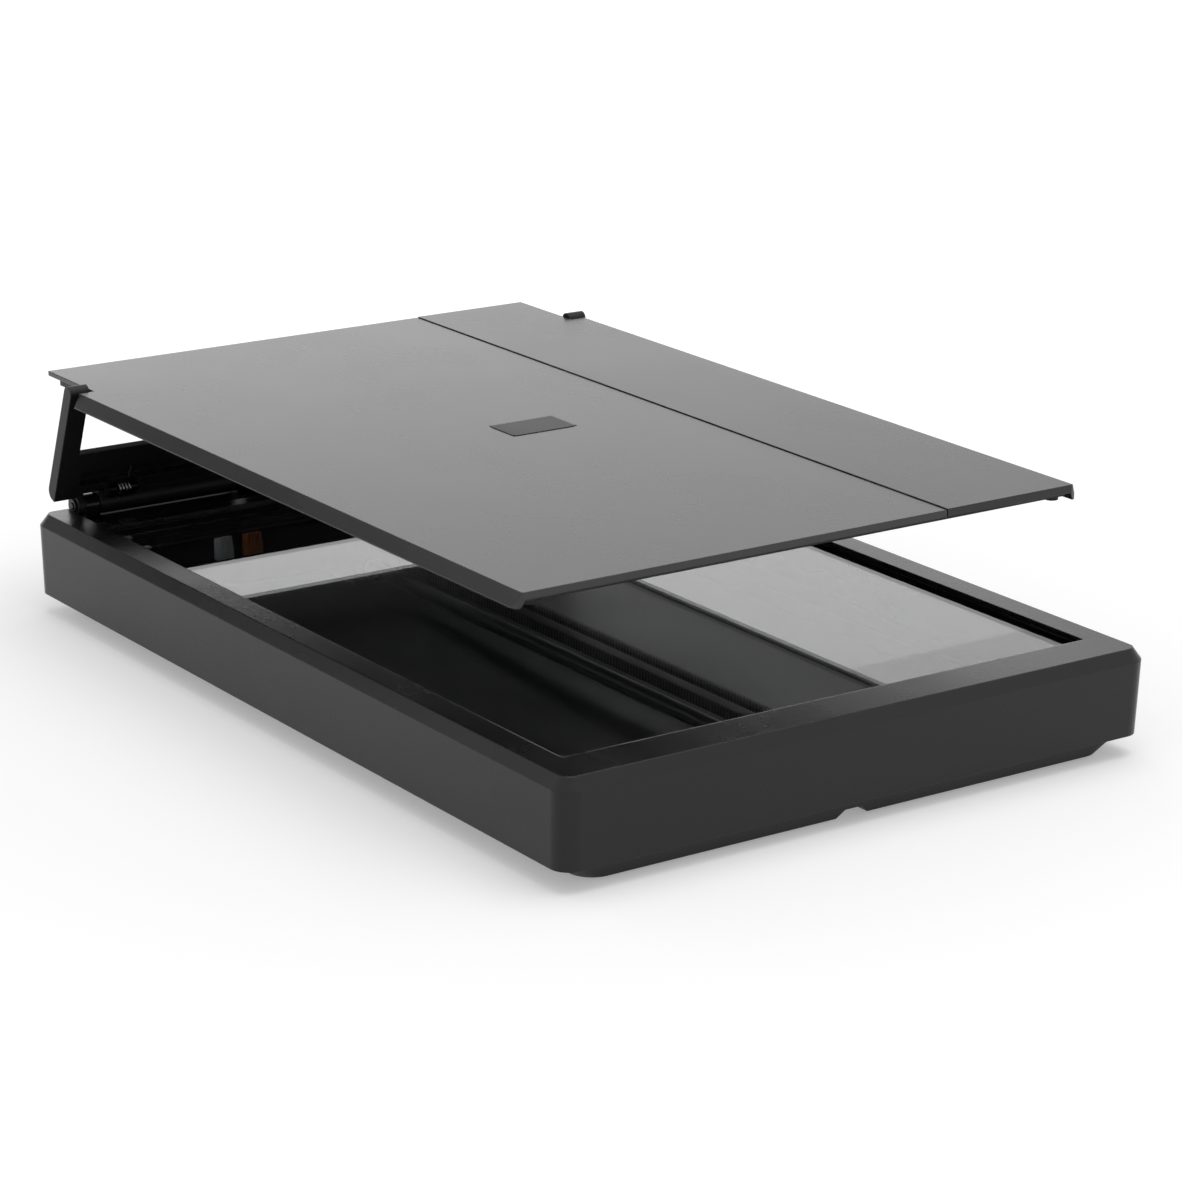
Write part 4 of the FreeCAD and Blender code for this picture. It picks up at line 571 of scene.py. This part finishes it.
def seen(tree):
    """One for what the camera sees, straight, mirrored or through glass."""
    path = tree.nodes.new("ShaderNodeLightPath")
    signal = path.outputs["Is Camera Ray"]
    for kind in ("Is Glossy Ray", "Is Transmission Ray"):
        either = tree.nodes.new("ShaderNodeMath")
        either.operation = "MAXIMUM"
        tree.links.new(signal, either.inputs[0])
        tree.links.new(path.outputs[kind], either.inputs[1])
        signal = either.outputs[0]
    return signal


def floor_material():
    """A matt floor that brightens with distance: the shadow stays, the far field is white."""
    material = bpy.data.materials.new("pale_floor")
    material.use_nodes = True
    tree = material.node_tree
    tree.nodes.clear()
    output = tree.nodes.new("ShaderNodeOutputMaterial")
    matt = tree.nodes.new("ShaderNodeBsdfDiffuse")
    matt.inputs["Color"].default_value = (FLOOR_SHADE, FLOOR_SHADE, FLOOR_SHADE, 1.0)
    place = tree.nodes.new("ShaderNodeTexCoord")
    away = tree.nodes.new("ShaderNodeVectorMath")
    away.operation = "LENGTH"
    tree.links.new(place.outputs["Object"], away.inputs[0])
    fade = tree.nodes.new("ShaderNodeMapRange")
    fade.inputs["From Min"].default_value = GLOW_NEAR
    fade.inputs["From Max"].default_value = GLOW_FAR
    fade.inputs["To Min"].default_value = GLOW_LOW
    fade.inputs["To Max"].default_value = GLOW_HIGH
    tree.links.new(away.outputs["Value"], fade.inputs["Value"])
    lift = tree.nodes.new("ShaderNodeMath")
    lift.operation = "MULTIPLY"
    tree.links.new(seen(tree), lift.inputs[0])
    tree.links.new(fade.outputs["Result"], lift.inputs[1])
    glow = tree.nodes.new("ShaderNodeEmission")
    tree.links.new(lift.outputs[0], glow.inputs["Strength"])
    both = tree.nodes.new("ShaderNodeAddShader")
    tree.links.new(matt.outputs[0], both.inputs[0])
    tree.links.new(glow.outputs[0], both.inputs[1])
    tree.links.new(both.outputs[0], output.inputs["Surface"])
    return material


def floor():
    build = bmesh.new()
    bmesh.ops.create_grid(build, x_segments=1, y_segments=1, size=FLOOR_HALF)
    piece = in_scene("floor", build)
    piece.data.materials.append(floor_material())


def world():
    """White where it is seen, dimmer where it only lights."""
    made = bpy.data.worlds.new("studio")
    scene.world = made
    made.use_nodes = True
    tree = made.node_tree
    backdrop = tree.nodes["Background"]
    level = tree.nodes.new("ShaderNodeMapRange")
    level.inputs["To Min"].default_value = WORLD_LIGHT
    level.inputs["To Max"].default_value = WORLD_SEEN
    tree.links.new(seen(tree), level.inputs["Value"])
    backdrop.inputs["Color"].default_value = (1.0, 1.0, 1.0, 1.0)
    tree.links.new(level.outputs["Result"], backdrop.inputs["Strength"])


def softbox(name, at, towards, width, height, radiance):
    data = bpy.data.lights.new(name, "AREA")
    data.shape = "RECTANGLE"
    data.size, data.size_y = width, height
    data.energy = radiance * math.pi * width * height
    lamp = bpy.data.objects.new(name, data)
    scene.collection.objects.link(lamp)
    way = Vector(towards) - Vector(at)
    lamp.matrix_world = (Matrix.Translation(Vector(at))
                         @ way.to_track_quat("-Z", "Y").to_matrix().to_4x4())
    lamp.visible_camera = False


def card(name, corners):
    """A dark card that shows in reflections only, and keeps the left bevel and rim dark."""
    build = bmesh.new()
    build.faces.new([build.verts.new(corner) for corner in corners])
    made = in_scene(name, build)
    felt = Graph(name + "_felt")
    shade = felt.tint(felt.noise(0.02), grey(0.015), grey(0.025))
    made.data.materials.append(felt.finish(shade, felt.ramp(felt.noise(0.005), 0.3, 0.7,
                                                            0.85, 0.95)))
    for kind in ("camera", "diffuse", "transmission", "shadow"):
        setattr(made, "visible_" + kind, False)


floor()
world()
softbox("top_light", at=(0.3, -0.2, 1.8), towards=(0.0, 0.0, 0.0), width=1.6, height=1.6,
        radiance=1.5)
softbox("back_light", at=(0.3, 0.86, 0.26), towards=(0.3, -0.2, 0.26), width=1.6, height=0.42,
        radiance=0.2)
softbox("low_light", at=(0.3, 0.88, 0.16), towards=(0.3, -0.2, 0.16), width=1.6, height=0.28,
        radiance=0.7)
card("side_card", [(-0.91, 0.7, 0.1), (-0.1, 1.15, 0.1), (-0.1, 1.15, 1.3),
                   (-0.622, 0.86, 1.3), (-0.622, 0.86, 0.3), (-0.91, 0.7, 0.3)])

# The camera as fitted to the photograph's straight edges, its focal length in pixels.
FRAME_PIXELS = 1182.0
FOCAL_PIXELS = 3794.1
SENSOR_WIDTH = 36.0
CAMERA_PLACE = (-0.7669582, -1.1107181, 0.4552375)
CAMERA_RIGHT = (0.8191345, -0.5734731, 0.0121349)
CAMERA_UP = (0.1618524, 0.2513784, 0.9542603)
CAMERA_AHEAD = (0.5502931, 0.7797034, -0.2987307)

camera_data = bpy.data.cameras.new("camera")
camera_data.sensor_width = SENSOR_WIDTH
camera_data.lens = FOCAL_PIXELS / FRAME_PIXELS * SENSOR_WIDTH
camera_data.clip_start, camera_data.clip_end = 0.05, 20.0
camera = bpy.data.objects.new("camera", camera_data)
scene.collection.objects.link(camera)
axes = Matrix((Vector(CAMERA_RIGHT), Vector(CAMERA_UP), -Vector(CAMERA_AHEAD)))
camera.matrix_world = Matrix.Translation(CAMERA_PLACE) @ axes.transposed().to_4x4()
scene.camera = camera

scene.view_settings.view_transform = "Standard"
